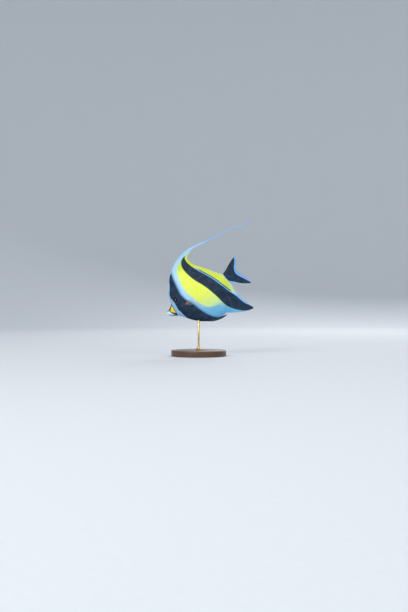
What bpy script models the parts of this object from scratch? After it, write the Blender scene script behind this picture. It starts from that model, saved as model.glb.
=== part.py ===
"""A moorish idol as a still, life-size display model on a plain stand.

The scene is in metres. The fish is drawn in millimetres in its own frame, where x runs back from
the tip of the snout, y across to its right side and z up, and an empty holds it in its pose.
"""

import math

import bmesh
import bpy
import numpy as np
from mathutils import Vector

MM = 0.001
GAP = 0.3
WELD = 0.00001

# The pose, and the stand that holds it.
NOSE_DOWN = math.radians(31.0)
BASE_RADIUS = 55.0
BASE_HEIGHT = 12.0
BASE_EDGE = 2.0
ROD_RADIUS = 1.9
ROD_IN_BELLY = 5.0
COLLAR_RADIUS = 6.0
COLLAR_HEIGHT = 5.0
BELLY_CLEARANCE = 58.0
HELD_AT = (48.4, -48.3)

# Each station is a line across the fish's side: its top, its bottom and the half width there.
STATIONS = (
    ((0.0, -2.3), (0.3, -3.9), 1.3),
    ((0.8, -1.1), (1.4, -5.2), 2.5),
    ((3.0, -0.2), (3.6, -7.8), 3.5),
    ((7.0, 0.9), (7.4, -11.4), 4.3),
    ((12.0, 3.4), (12.0, -14.6), 5.2),
    ((17.0, 7.6), (16.5, -16.9), 6.4),
    ((20.3, 13.2), (20.5, -19.0), 7.9),
    ((21.4, 20.0), (25.0, -23.2), 9.4),
    ((24.6, 28.8), (30.0, -29.6), 10.8),
    ((30.5, 38.8), (36.0, -36.6), 11.9),
    ((38.5, 50.2), (42.5, -43.0), 12.6),
    ((48.5, 61.0), (50.0, -49.5), 12.8),
    ((60.0, 61.5), (59.0, -55.2), 12.5),
    ((72.0, 56.0), (70.0, -60.2), 11.7),
    ((84.0, 46.6), (82.0, -63.3), 10.3),
    ((95.0, 36.6), (93.0, -64.0), 8.7),
    ((105.0, 26.8), (104.0, -61.8), 7.0),
    ((114.0, 18.6), (115.0, -49.0), 5.4),
    ((123.0, 11.8), (125.0, -33.5), 4.0),
    ((131.0, 7.8), (133.5, -19.6), 2.9),
    ((136.0, 7.3), (139.5, -13.6), 2.0),
)
JAW_END = 2.6
DORSAL_START = 11.0
GILLS = 9.7
ANAL_START = 16.0
PEDUNCLE = 17.3
TAIL_START = 20.0
MOUTH_SHARE = 0.34
WIDEST_SHARE = 0.52
RIDGE = 0.45

# Fin margins, as (station, x, z) of each ray's tip. The dorsal one starts with the filament's root.
DORSAL_TIPS = (
    (11.0, 107.0, 86.2),
    (11.5, 107.0, 80.4),
    (12.0, 101.4, 77.7),
    (12.5, 95.4, 75.4),
    (13.0, 92.8, 70.9),
    (13.5, 93.4, 64.0),
    (14.0, 96.0, 57.2),
    (15.0, 105.2, 44.8),
    (16.0, 115.0, 33.9),
    (17.0, 123.0, 23.8),
    (18.0, 129.8, 15.6),
    (19.0, 134.4, 10.4),
    (20.0, 136.8, 8.2),
)
ANAL_TIPS = (
    (16.0, 155.8, -83.0),
    (16.3, 155.6, -77.4),
    (16.6, 152.0, -70.6),
    (17.0, 148.2, -62.6),
    (17.5, 144.2, -51.2),
    (18.0, 142.0, -41.0),
    (18.5, 141.2, -33.0),
    (19.0, 141.5, -26.0),
    (19.5, 142.3, -19.8),
    (20.0, 140.2, -14.6),
)
# The tail's rays end at (share of the way up, x, z).
TAIL_TIPS = (
    (0.00, 178.0, -37.0),
    (0.10, 177.0, -29.0),
    (0.25, 171.6, -18.0),
    (0.40, 166.6, -8.4),
    (0.52, 165.4, -1.2),
    (0.65, 168.0, 7.6),
    (0.80, 172.6, 13.8),
    (0.92, 176.0, 20.2),
    (1.00, 177.4, 25.8),
)
FIN_EDGE = 0.28
DORSAL_ROOT = 1.5
ANAL_ROOT = 1.4
FIRST_SPINE = 1.0

# The filament's path, as (x, z, half its height, half its thickness).
FILAMENT = (
    (107.9, 83.3, 2.8, 1.0),
    (113.4, 83.8, 1.9, 0.9),
    (126.4, 83.0, 1.5, 0.8),
    (140.0, 81.0, 1.3, 0.72),
    (159.0, 79.1, 1.15, 0.66),
    (178.5, 77.6, 1.05, 0.6),
    (198.0, 76.2, 0.95, 0.55),
    (211.0, 74.2, 0.85, 0.5),
    (224.0, 70.9, 0.7, 0.44),
    (240.0, 68.6, 0.4, 0.32),
)
FILAMENT_CUTS = (0.0, 3.0, 6.0, 9.0)

EYE_AT = (30.0, 12.5)
EYE_RADIUS = 4.8
EYE_DEPTH = 3.4
EYE_STANDS_OUT = 1.5
HORN_AT = (25.4, 19.2)
HORN_LENGTH = 4.0
HORN_RADIUS = 1.1
HORN_TIP = 0.35
HORN_WAY = (-0.5, 0.8, 0.3)

PECTORAL_AT = (48.0, -6.5)
PECTORAL_TURN = math.radians(24.0)
PECTORAL_THICK = 0.6
PECTORAL_OUTLINE = (
    (0.0, 3.6),
    (9.0, 6.6),
    (19.0, 7.6),
    (27.0, 4.6),
    (25.0, -1.6),
    (18.0, -7.0),
    (9.0, -8.0),
    (0.0, -3.8),
)
PELVIC_OUTLINE = (
    (57.6, -55.6),
    (68.0, -61.2),
    (76.0, -64.9),
    (84.0, -67.2),
    (94.0, -68.0),
    (105.0, -66.6),
    (94.0, -65.0),
    (82.0, -64.2),
    (70.0, -61.0),
    (60.0, -56.6),
)
PELVIC_THICK = 1.1
PELVIC_ASIDE = 0.9


def smooth_step(value):
    """0 to 1 with a soft start and end."""
    value = min(1.0, max(0.0, value))
    return value * value * (3 - 2 * value)


def through(knots, points, at):
    """The point at `at` of the smooth curve that passes each of the points at its knot."""
    knots = np.asarray(knots, float)
    points = np.asarray(points, float)
    slopes = np.gradient(points, knots, axis=0)
    left = int(np.clip(np.searchsorted(knots, at, side="right") - 1, 0, len(knots) - 2))
    span = knots[left + 1] - knots[left]
    u = (at - knots[left]) / span
    start = (1 + 2 * u) * (1 - u) ** 2 * points[left] + u * (1 - u) ** 2 * span * slopes[left]
    end = u * u * (3 - 2 * u) * points[left + 1] + u * u * (u - 1) * span * slopes[left + 1]
    return start + end


def station(s):
    """Top, bottom and half width of the body at station s."""
    rows = [(*top, *bottom, width) for top, bottom, width in STATIONS]
    values = through(range(len(rows)), rows, s)
    return values[0:2], values[2:4], values[4]


def fin_root(s, share):
    """Half the thickness that a fin's root, or the bare ridge, has along the edge of the body."""
    if share > WIDEST_SHARE:
        rise = smooth_step((s - DORSAL_START) / 1.5) * (1 - 0.6 * smooth_step((s - 17) / 3))
        return RIDGE + (DORSAL_ROOT - RIDGE) * rise
    rise = smooth_step((s - ANAL_START) / 1.0) * (1 - 0.6 * smooth_step((s - 17) / 3))
    return RIDGE + (ANAL_ROOT - RIDGE) * rise


def body_point(s, share):
    """A point of the body's side as (x, z), a share of the way from the bottom to the top."""
    top, bottom, _ = station(s)
    return bottom + (top - bottom) * share


def body_half(s, share):
    """Half the body's thickness at that point: round at the snout and a thin lens further back."""
    width = station(s)[2]
    if share > WIDEST_SHARE:
        away = (share - WIDEST_SHARE) / (1 - WIDEST_SHARE)
    else:
        away = (WIDEST_SHARE - share) / WIDEST_SHARE
    fullness = 0.5 + 0.22 * smooth_step((s - 4) / 6)
    bulge = width * max(0.0, 1 - away**2) ** fullness
    return math.hypot(bulge, fin_root(s, share) * away**6)


def ray_point(root, tip, leave, arrive, along):
    """A point on a fin ray that leaves its root and reaches its tip at these angles, in degrees."""
    chord = np.linalg.norm(tip - root)
    leave = np.radians(leave)
    arrive = np.radians(arrive)
    first = root + 0.27 * chord * np.array((math.cos(leave), math.sin(leave)))
    second = tip - 0.36 * chord * np.array((math.cos(arrive), math.sin(arrive)))
    rest = 1 - along
    outer = rest**3 * root + along**3 * tip
    return outer + 3 * rest * rest * along * first + 3 * rest * along * along * second


def median_ray(s, along, tips, start, share, leave_first, arrive_first):
    """A point of the dorsal or the anal fin. The first rays are bowed and the others straight."""
    root = body_point(s, share)
    tip = through([t[0] for t in tips], [t[1:] for t in tips], s)
    chord = math.degrees(math.atan2(tip[1] - root[1], tip[0] - root[0]))
    bowed = 1 - smooth_step((s - start) / 2.2)
    leave = chord + (leave_first - chord) * bowed
    arrive = chord + (arrive_first - chord) * bowed
    return ray_point(root, tip, leave, arrive, along)


def dorsal_point(s, along):
    return median_ray(s, along, DORSAL_TIPS, DORSAL_START, 1.0, 50.0, 0.0)


def anal_point(s, along):
    return median_ray(s, along, ANAL_TIPS, ANAL_START, 0.0, -33.0, -5.0)


def tail_point(share, along):
    """A point of the tail fin. Its outer rays leave the body almost straight and then spread."""
    root = body_point(TAIL_START, share)
    tip = through([t[0] for t in TAIL_TIPS], [t[1:] for t in TAIL_TIPS], share)
    chord = math.degrees(math.atan2(tip[1] - root[1], tip[0] - root[0]))
    outward = 2 * share - 1
    return ray_point(root, tip, chord - 14 * outward, chord - 14 * outward, along)


def fin_half(root_half, along, spine=0.0):
    """Half the thickness of a fin from its root out to its margin."""
    plain = FIN_EDGE + (root_half - FIN_EDGE) * (1 - smooth_step(1.25 * along))
    return max(plain, spine)


def material(name, colour, roughness, metallic=0.0):
    made = bpy.data.materials.new(name)
    made.use_nodes = True
    shader = made.node_tree.nodes["Principled BSDF"]
    shader.inputs["Base Color"].default_value = (*colour, 1.0)
    shader.inputs["Roughness"].default_value = roughness
    shader.inputs["Metallic"].default_value = metallic
    return made


def place(name, data, collection, finish=None, parent=None):
    """A new object for this data, in this collection."""
    made = bpy.data.objects.new(name, data)
    collection.objects.link(made)
    made.parent = parent
    if finish:
        data.materials.append(finish)
    return made


def inset(line, inward):
    """A line of (x, z) points moved half a gap towards the side that the vectors point to."""
    moved = []
    for i, point in enumerate(line):
        run = line[min(i + 1, len(line) - 1)] - line[max(i - 1, 0)]
        across = np.array((-run[1], run[0])) / np.linalg.norm(run)
        if across @ inward[i] < 0:
            across = -across
        moved.append(point + across * GAP / 2)
    return moved


def sheet_object(name, rows, halves, cut_sides, collection, finish, parent):
    """A closed solid from a grid of side points and half thicknesses, mirrored about the midplane.

    cut_sides names the sides that face a neighbour: first and last row, first and last column.
    """
    rows = [list(row) for row in rows]
    if "first_row" in cut_sides:
        rows[0] = inset(rows[0], [b - a for a, b in zip(rows[0], rows[1])])
    if "last_row" in cut_sides:
        rows[-1] = inset(rows[-1], [b - a for a, b in zip(rows[-1], rows[-2])])
    columns = [list(column) for column in zip(*rows)]
    if "first_column" in cut_sides:
        columns[0] = inset(columns[0], [b - a for a, b in zip(columns[0], columns[1])])
    if "last_column" in cut_sides:
        columns[-1] = inset(columns[-1], [b - a for a, b in zip(columns[-1], columns[-2])])
    rows = [list(row) for row in zip(*columns)]

    shape = bmesh.new()
    skin = []
    for row, row_halves in zip(rows, halves):
        skin.append(
            [shape.verts.new((p[0] * MM, -h * MM, p[1] * MM)) for p, h in zip(row, row_halves)]
        )
    for lower, upper in zip(skin, skin[1:]):
        for a, b, c, d in zip(lower, lower[1:], upper[1:], upper):
            shape.faces.new((a, b, c, d))
    rim = skin[0] + [row[-1] for row in skin[1:]]
    rim += skin[-1][-2::-1] + [row[0] for row in skin[-2:0:-1]]
    middle = [shape.verts.new((v.co.x, 0.0, v.co.z)) for v in rim]
    for i in range(len(rim)):
        j = (i + 1) % len(rim)
        shape.faces.new((rim[j], rim[i], middle[i], middle[j]))
    bmesh.ops.recalc_face_normals(shape, faces=shape.faces)
    outer = max(shape.faces, key=lambda face: -face.calc_center_median().y)
    if outer.normal.y > 0:
        bmesh.ops.reverse_faces(shape, faces=shape.faces)
    data = bpy.data.meshes.new(name)
    shape.to_mesh(data)
    shape.free()

    made = place(name, data, collection, finish, parent)
    mirror = made.modifiers.new("other side", "MIRROR")
    mirror.use_axis = (False, True, False)
    mirror.merge_threshold = WELD
    data.shade_smooth()
    data.set_sharp_from_angle(angle=math.radians(40))
    return made


def cut(target, cutter):
    """Takes the cutter's shape out of the target."""
    boolean = target.modifiers.new(cutter.name, "BOOLEAN")
    boolean.operation = "DIFFERENCE"
    boolean.object = cutter


def cutter_look(made):
    made.hide_render = True
    made.display_type = "WIRE"
    return made


def ball(name, radii, collection, finish, parent, at):
    """An ellipsoid with its poles along y."""
    shape = bmesh.new()
    bmesh.ops.create_uvsphere(shape, u_segments=20, v_segments=12, radius=1.0)
    for vert in shape.verts:
        vert.co = Vector((vert.co.x * radii[0], vert.co.z * radii[1], -vert.co.y * radii[2])) * MM
    data = bpy.data.meshes.new(name)
    shape.to_mesh(data)
    shape.free()
    made = place(name, data, collection, finish, parent)
    made.location = Vector(at) * MM
    data.shade_smooth()
    return made


def cone(name, bottom, top, low_radius, high_radius, collection, finish, parent, sides):
    """A round bar or cone between two points."""
    bottom = Vector(bottom) * MM
    top = Vector(top) * MM
    shape = bmesh.new()
    bmesh.ops.create_cone(
        shape,
        cap_ends=True,
        segments=sides,
        radius1=low_radius * MM,
        radius2=high_radius * MM,
        depth=(top - bottom).length,
    )
    data = bpy.data.meshes.new(name)
    shape.to_mesh(data)
    shape.free()
    made = place(name, data, collection, finish, parent)
    made.location = (bottom + top) / 2
    made.rotation_mode = "QUATERNION"
    made.rotation_quaternion = (top - bottom).to_track_quat("Z", "Y")
    data.shade_smooth()
    data.set_sharp_from_angle(angle=math.radians(40))
    return made


def flat_fin(name, outline, thickness, collection, finish, parent):
    """A flat plate whose outline is a closed smooth curve through these points."""
    data = bpy.data.curves.new(name, "CURVE")
    data.dimensions = "2D"
    data.fill_mode = "BOTH"
    data.extrude = thickness / 2 * MM
    data.resolution_u = 4
    spline = data.splines.new("BEZIER")
    spline.bezier_points.add(len(outline) - 1)
    for knot, (x, z) in zip(spline.bezier_points, outline):
        knot.co = (x * MM, z * MM, 0.0)
        knot.handle_left_type = "AUTO"
        knot.handle_right_type = "AUTO"
    spline.use_cyclic_u = True
    made = place(name, data, collection, finish, parent)
    made.rotation_euler = (math.radians(90), 0.0, 0.0)
    return made


def body_sheet(name, s_from, s_to, share_from, share_to, columns, rows, cut_sides, look):
    """One length of the body, or a part of its height, as a node."""
    stations = np.linspace(s_from, s_to, columns + 1)
    heights = [0.5 - 0.5 * math.cos(math.pi * i / rows) for i in range(rows + 1)]
    shares = [share_from + (share_to - share_from) * h for h in heights]
    points = [[body_point(s, share) for s in stations] for share in shares]
    halves = [[body_half(s, share) for s in stations] for share in shares]
    return sheet_object(name, points, halves, cut_sides, *look)


def build_body(look):
    """Jaws, head, trunk and tail base, from the snout back."""
    upper = body_sheet("upper_jaw", 0, JAW_END, MOUTH_SHARE, 1, 5, 6, ("first_row", "last_column"), look)
    lower = body_sheet("lower_jaw", 0, JAW_END, 0, MOUTH_SHARE, 5, 4, ("last_row", "last_column"), look)
    ends = ("first_column", "last_column")
    head = body_sheet("head", JAW_END, GILLS, 0, 1, 12, 20, ends, look)
    trunk = body_sheet("trunk", GILLS, PEDUNCLE, 0, 1, 13, 20, (*ends, "first_row", "last_row"), look)
    tail = body_sheet("tail_base", PEDUNCLE, TAIL_START, 0, 1, 5, 14, (*ends, "first_row", "last_row"), look)
    return upper, lower, head, trunk, tail


def build_median_fins(look):
    """Dorsal, anal and tail fins, and the dorsal filament in three lengths."""
    alongs = [1 - (1 - i / 8) ** 1.1 for i in range(9)]
    first = [DORSAL_START + 0.5 * i / 3 for i in range(4)]
    stations = first + list(np.linspace(DORSAL_START + 0.5, TAIL_START, 22)[1:])
    points = [[dorsal_point(s, a) for s in stations] for a in alongs]
    halves = []
    for a in alongs:
        spine = [FIRST_SPINE * (1 - smooth_step((s - DORSAL_START - 0.4) / 0.6)) for s in stations]
        halves.append([fin_half(fin_root(s, 1.0), a, p) for s, p in zip(stations, spine)])
    sheet_object("dorsal_fin", points, halves, ("first_row", "last_column"), *look)

    stations = list(np.linspace(ANAL_START, TAIL_START, 17))
    points = [[anal_point(s, a) for s in stations] for a in alongs]
    halves = [[fin_half(fin_root(s, 0.0), a) for s in stations] for a in alongs]
    sheet_object("anal_fin", points, halves, ("first_row", "last_column"), *look)

    shares = [0.5 - 0.5 * math.cos(math.pi * i / 14) for i in range(15)]
    points = [[tail_point(share, a) for a in alongs] for share in shares]
    halves = [[fin_half(body_half(TAIL_START, share), a) for a in alongs] for share in shares]
    sheet_object("caudal_fin", points, halves, ("first_column",), *look)

    names = ("filament_root", "filament_middle", "filament_tip")
    for name, begin, end in zip(names, FILAMENT_CUTS, FILAMENT_CUTS[1:]):
        steps = np.linspace(begin, end, 9)
        line = [through(range(len(FILAMENT)), FILAMENT, u) for u in steps]
        points = []
        halves = []
        for k in range(5):
            across = math.cos(math.pi * k / 4)
            row = []
            for u, (x, z, height, _) in zip(steps, line):
                ahead = through(range(len(FILAMENT)), FILAMENT, min(u + 0.01, 9.0))
                behind = through(range(len(FILAMENT)), FILAMENT, max(u - 0.01, 0.0))
                run = (ahead - behind)[0:2]
                up = np.array((-run[1], run[0])) / np.linalg.norm(run)
                row.append(np.array((x, z)) + up * across * height)
            points.append(row)
            round_off = math.sqrt(1 - across**2)
            halves.append([max(FIN_EDGE, p[3] * round_off) for p in line])
        sides = ("first_column",) if name == "filament_tip" else ("first_column", "last_column")
        sheet_object(name, points, halves, sides, *look)


def share_at(x, z):
    """Station and share of the way up of a point on the body's side, found by halving steps."""
    s, share, step = 8.0, 0.5, 4.0
    while step > 0.0005:
        tries = [(s + i * step, share + j * step / 16) for i in (-1, 0, 1) for j in (-1, 0, 1)]
        tries = [(min(max(a, 0), TAIL_START), min(max(b, 0), 1)) for a, b in tries]
        best = min(tries, key=lambda t: np.linalg.norm(body_point(*t) - (x, z)))
        if best == (s, share):
            step /= 2
        s, share = best
    return s, share


def build_eyes_and_horns(parts, cutters, frame, head, eye_look, horn_look):
    """Each eye sits in a socket, with a small horn on the brow in front of it."""
    out = body_half(*share_at(*EYE_AT))
    brow = body_half(*share_at(*HORN_AT))
    for side, sign in (("left", -1), ("right", 1)):
        at = (EYE_AT[0], sign * (out + EYE_STANDS_OUT - EYE_DEPTH), EYE_AT[1])
        ball(f"eye_{side}", (EYE_RADIUS, EYE_DEPTH, EYE_RADIUS), parts, eye_look, frame, at)
        roomy = (EYE_RADIUS + GAP, EYE_DEPTH + GAP, EYE_RADIUS + GAP)
        cut(head, cutter_look(ball(f"socket_{side}", roomy, cutters, None, frame, at)))

        root = Vector((HORN_AT[0], sign * (brow - 0.9), HORN_AT[1]))
        way = Vector((HORN_WAY[0], sign * HORN_WAY[1], HORN_WAY[2])).normalized()
        horn = (root, root + way * HORN_LENGTH, HORN_RADIUS, HORN_TIP)
        cone(f"horn_{side}", *horn, parts, horn_look, frame, 12)
        room = (root - way * GAP, root + way * HORN_LENGTH, HORN_RADIUS + GAP, HORN_TIP + GAP)
        cut(head, cutter_look(cone(f"horn_hole_{side}", *room, cutters, None, frame, 12)))


def build_paired_fins(parts, frame, fin_look, dark_look):
    """Pectoral fins stand off the flanks, and pelvic fins lie folded under the belly."""
    flank = body_half(*share_at(*PECTORAL_AT)) + 2 * GAP + PECTORAL_THICK / 2
    for side, sign in (("left", -1), ("right", 1)):
        fin = flat_fin(f"pectoral_fin_{side}", PECTORAL_OUTLINE, PECTORAL_THICK, parts, fin_look, frame)
        fin.location = Vector((PECTORAL_AT[0], sign * flank, PECTORAL_AT[1])) * MM
        fin.rotation_euler.z = sign * PECTORAL_TURN
        fin = flat_fin(f"pelvic_fin_{side}", PELVIC_OUTLINE, PELVIC_THICK, parts, dark_look, frame)
        fin.location.y = sign * PELVIC_ASIDE * MM


def build_stand(parts, cutters, trunk, wood, brass):
    """A round wooden base, and a brass rod in a collar that carries the fish under its belly."""
    base_top = BASE_HEIGHT
    belly = base_top + BELLY_CLEARANCE
    bpy.ops.mesh.primitive_cylinder_add(vertices=64, radius=BASE_RADIUS * MM, depth=BASE_HEIGHT * MM)
    base = bpy.context.object
    base.name = "stand_base"
    base.location.z = BASE_HEIGHT / 2 * MM
    base.data.materials.append(wood)
    base.data.shade_smooth()
    base.data.set_sharp_from_angle(angle=math.radians(40))
    for collection in base.users_collection:
        collection.objects.unlink(base)
    parts.objects.link(base)
    bevel = base.modifiers.new("rounded rim", "BEVEL")
    bevel.width = BASE_EDGE * MM
    bevel.segments = 3
    bevel.angle_limit = math.radians(40)

    low = (0.0, 0.0, base_top + GAP)
    high = (0.0, 0.0, belly + ROD_IN_BELLY)
    cone("stand_rod", low, high, ROD_RADIUS, ROD_RADIUS, parts, brass, None, 24)
    low = (0.0, 0.0, belly - 10)
    high = (0.0, 0.0, belly + ROD_IN_BELLY + GAP)
    room = ROD_RADIUS + GAP
    cut(trunk, cutter_look(cone("rod_hole", low, high, room, room, cutters, None, None, 24)))

    inner = room * MM
    outer = COLLAR_RADIUS * MM
    foot = (base_top + GAP) * MM
    brim = foot + COLLAR_HEIGHT * MM
    shoulder = foot + COLLAR_HEIGHT * 0.4 * MM
    profile = ((inner, brim), (outer * 0.6, brim), (outer, shoulder), (outer, foot), (inner, foot))
    data = bpy.data.meshes.new("stand_collar")
    edges = [(i, (i + 1) % len(profile)) for i in range(len(profile))]
    data.from_pydata([(r, 0.0, z) for r, z in profile], edges, [])
    collar = place("stand_collar", data, parts, brass)
    screw = collar.modifiers.new("turned", "SCREW")
    screw.steps = 32
    screw.render_steps = 32
    screw.use_merge_vertices = True
    screw.merge_threshold = WELD


def main():
    for old in list(bpy.data.objects):
        bpy.data.objects.remove(old)
    parts = bpy.data.collections.new("moorish idol model")
    cutters = bpy.data.collections.new("cutters")
    bpy.context.scene.collection.children.link(parts)
    bpy.context.scene.collection.children.link(cutters)

    frame = place("fish_pose", None, parts)
    frame.rotation_euler.y = -NOSE_DOWN
    held_x = HELD_AT[0] * math.cos(NOSE_DOWN) - HELD_AT[1] * math.sin(NOSE_DOWN)
    held_z = HELD_AT[0] * math.sin(NOSE_DOWN) + HELD_AT[1] * math.cos(NOSE_DOWN)
    frame.location = (-held_x * MM, 0.0, (BASE_HEIGHT + BELLY_CLEARANCE - held_z) * MM)
    bpy.context.view_layer.update()

    skin = material("skin", (0.72, 0.78, 0.18), 0.4)
    dark = material("dark fin", (0.02, 0.03, 0.05), 0.4)
    clear = material("fin membrane", (0.55, 0.6, 0.62), 0.35)
    eye = material("eye", (0.02, 0.02, 0.02), 0.08)
    horn = material("horn", (0.75, 0.8, 0.82), 0.4)
    wood = material("dark wood", (0.09, 0.045, 0.025), 0.4)
    brass = material("brass", (0.75, 0.56, 0.25), 0.3, 1.0)

    look = (parts, skin, frame)
    _, _, head, trunk, _ = build_body(look)
    build_median_fins(look)
    build_eyes_and_horns(parts, cutters, frame, head, eye, horn)
    build_paired_fins(parts, frame, clear, dark)
    build_stand(parts, cutters, trunk, wood, brass)
    bpy.context.view_layer.update()


main()
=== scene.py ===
"""A moorish idol fish as a still, life-size display model on a plain stand.

The fish is drawn in its own frame, in millimetres: x runs back from the tip of the snout, y to its
right side and z up. in_scene() turns that into the scene's metres, pitched nose down.
"""

import math

import bmesh
import bpy
import numpy as np
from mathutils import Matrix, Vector


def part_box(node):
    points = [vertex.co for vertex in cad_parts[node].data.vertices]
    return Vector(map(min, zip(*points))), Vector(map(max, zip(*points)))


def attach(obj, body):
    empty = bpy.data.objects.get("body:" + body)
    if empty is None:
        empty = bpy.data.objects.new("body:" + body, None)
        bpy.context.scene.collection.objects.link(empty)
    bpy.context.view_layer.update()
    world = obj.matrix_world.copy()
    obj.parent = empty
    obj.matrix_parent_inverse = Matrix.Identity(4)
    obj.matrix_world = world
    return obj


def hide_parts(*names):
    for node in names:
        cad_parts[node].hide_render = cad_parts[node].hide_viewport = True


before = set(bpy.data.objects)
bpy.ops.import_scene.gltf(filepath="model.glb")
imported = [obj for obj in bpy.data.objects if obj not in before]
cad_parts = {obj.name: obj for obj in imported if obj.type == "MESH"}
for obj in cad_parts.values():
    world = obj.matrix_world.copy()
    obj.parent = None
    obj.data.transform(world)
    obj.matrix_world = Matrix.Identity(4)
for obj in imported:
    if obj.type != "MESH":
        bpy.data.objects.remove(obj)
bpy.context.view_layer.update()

# Skin. The real one is a single thin hide over the flesh, from the lips out to the rims of the
# unpaired fins and along the dorsal filament, so one closed mesh stands for all of it. It lies
# just inside the solids, by the depth of the scales that cover it.
MM = 0.001
COAT_DEPTH = 0.2
NOSE_DOWN = math.radians(31.0)
# The rod holds the fish at this x and z of its own frame, this high over the floor.
HELD_AT = (48.4, -48.3)
HELD_HEIGHT = 70.0
# The body's stations, 0 at the snout to 20 at the tail: top (x, z), bottom (x, z) and half width.
STATIONS = (
    ((0.5, -1.75), (0.85, -4.55), 1.85),
    ((0.8, -1.1), (1.4, -5.2), 2.5),
    ((3.0, -0.2), (3.6, -7.8), 3.5),
    ((7.0, 0.9), (7.4, -11.4), 4.3),
    ((12.0, 3.4), (12.0, -14.6), 5.2),
    ((17.0, 7.6), (16.5, -16.9), 6.4),
    ((20.3, 13.2), (20.5, -19.0), 7.9),
    ((21.4, 20.0), (25.0, -23.2), 9.4),
    ((24.6, 28.8), (30.0, -29.6), 10.8),
    ((30.5, 38.8), (36.0, -36.6), 11.9),
    ((38.5, 50.2), (42.5, -43.0), 12.6),
    ((48.5, 61.0), (50.0, -49.5), 12.8),
    ((60.0, 61.5), (59.0, -55.2), 12.5),
    ((72.0, 56.0), (70.0, -60.2), 11.7),
    ((84.0, 46.6), (82.0, -63.3), 10.3),
    ((95.0, 36.6), (93.0, -64.0), 8.7),
    ((105.0, 26.8), (104.0, -61.8), 7.0),
    ((114.0, 18.6), (115.0, -49.0), 5.4),
    ((123.0, 11.8), (125.0, -33.5), 4.0),
    ((131.0, 7.8), (133.5, -19.6), 2.9),
    ((136.0, 7.3), (139.5, -13.6), 2.0),
)
# Stations where the head's scales end and where the fins start, and the last ray of the filament.
GILLS = 9.7
DORSAL_START = 11.0
FILAMENT_END = 11.5
ANAL_START = 16.0
TAIL_START = 20.0
# A share is 0 at the bottom of the body and 1 at its top.
WIDEST_SHARE = 0.52
# Half the thickness of the bare ridges along the body, and of the roots of the fins on them.
RIDGE = 0.45
DORSAL_ROOT = 1.5
ANAL_ROOT = 1.4


def in_scene(x, y, z):
    """Points of the fish's frame, in millimetres, as points of the scene."""
    cos = math.cos(NOSE_DOWN)
    sin = math.sin(NOSE_DOWN)
    start_x = HELD_AT[0] * cos - HELD_AT[1] * sin
    start_z = HELD_AT[0] * sin + HELD_AT[1] * cos
    east = x * cos - z * sin - start_x
    height = x * sin + z * cos - start_z + HELD_HEIGHT
    return np.stack(np.broadcast_arrays(east, y, height), axis=-1) * MM


def smooth_step(value):
    """0 to 1 with a soft start and end."""
    value = np.clip(value, 0.0, 1.0)
    return value * value * (3 - 2 * value)


def hump(distance, width):
    """1 at no distance, falling away smoothly over the width."""
    return np.exp(-((distance / width) ** 2))


def rounded(distance, radius):
    """0 at an edge, rising to 1 a radius away from it, as a quarter round does."""
    return np.sqrt(1 - (1 - np.clip(distance / radius, 0.0, 1.0)) ** 2)


def through(knots, points, at):
    """Points at `at` of the smooth curve that passes each of the points at its knot."""
    knots = np.asarray(knots, float)
    points = np.asarray(points, float)
    at = np.asarray(at, float)
    slopes = np.gradient(points, knots, axis=0)
    left = np.clip(np.searchsorted(knots, at, side="right") - 1, 0, len(knots) - 2)
    span = (knots[left + 1] - knots[left])[..., None]
    u = (at - knots[left])[..., None] / span
    start = (1 + 2 * u) * (1 - u) ** 2 * points[left] + u * (1 - u) ** 2 * span * slopes[left]
    end = u * u * (3 - 2 * u) * points[left + 1] + u * u * (u - 1) * span * slopes[left + 1]
    return start + end


def spread(*stops):
    """Numbers from the first stop to the last, each stop giving the steps to the next one."""
    values = []
    for (start, steps), (end, _) in zip(stops, stops[1:]):
        values.extend(np.linspace(start, end, steps, endpoint=False))
    return np.array(values + [stops[-1][0]])


def paired(first, second):
    """A grid of pairs of two numbers, or of two grids or rows of them."""
    return np.stack(np.broadcast_arrays(first, second), axis=-1)


def run_along(points):
    """Distance covered from the first point to each of the others."""
    steps = np.linalg.norm(np.diff(points, axis=0), axis=-1)
    return np.concatenate((np.zeros_like(steps[:1]), np.cumsum(steps, axis=0)))


def station(s):
    """Top, bottom and half width of the body, with the skin as far in as the scales are deep."""
    rows = [(*top, *bottom, width) for top, bottom, width in STATIONS]
    values = through(range(len(rows)), rows, s)
    top = values[..., 0:2]
    bottom = values[..., 2:4]
    up = (top - bottom) / np.linalg.norm(top - bottom, axis=-1, keepdims=True)
    return top - up * COAT_DEPTH, bottom + up * COAT_DEPTH, values[..., 4]


def fin_root(s, start, root):
    """Half the thickness of the dorsal or anal fin's root, or of the bare ridge before it."""
    rise = smooth_step((s - start) / 1.5) * (1 - 0.6 * smooth_step((s - 17) / 3))
    return RIDGE + (root - RIDGE) * rise - COAT_DEPTH


def body_point(s, share):
    """x and z of a place on the side of the body."""
    top, bottom, _ = station(s)
    return bottom + (top - bottom) * np.asarray(share)[..., None]


def body_half(s, share):
    """Half the body's thickness: round at the snout and a thin lens further back."""
    width = station(s)[2]
    above = (share - WIDEST_SHARE) / (1 - WIDEST_SHARE)
    below = (WIDEST_SHARE - share) / WIDEST_SHARE
    away = np.where(share > WIDEST_SHARE, above, below)
    top_root = fin_root(s, DORSAL_START, DORSAL_ROOT)
    low_root = fin_root(s, ANAL_START, ANAL_ROOT)
    root = np.where(share > WIDEST_SHARE, top_root, low_root)
    fullness = 0.5 + 0.22 * smooth_step((s - 4) / 6)
    bulge = width * np.maximum(0.0, 1 - away**2) ** fullness
    return np.hypot(np.maximum(bulge - COAT_DEPTH * (1 - away**6), 0.0), root * away**6)


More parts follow.
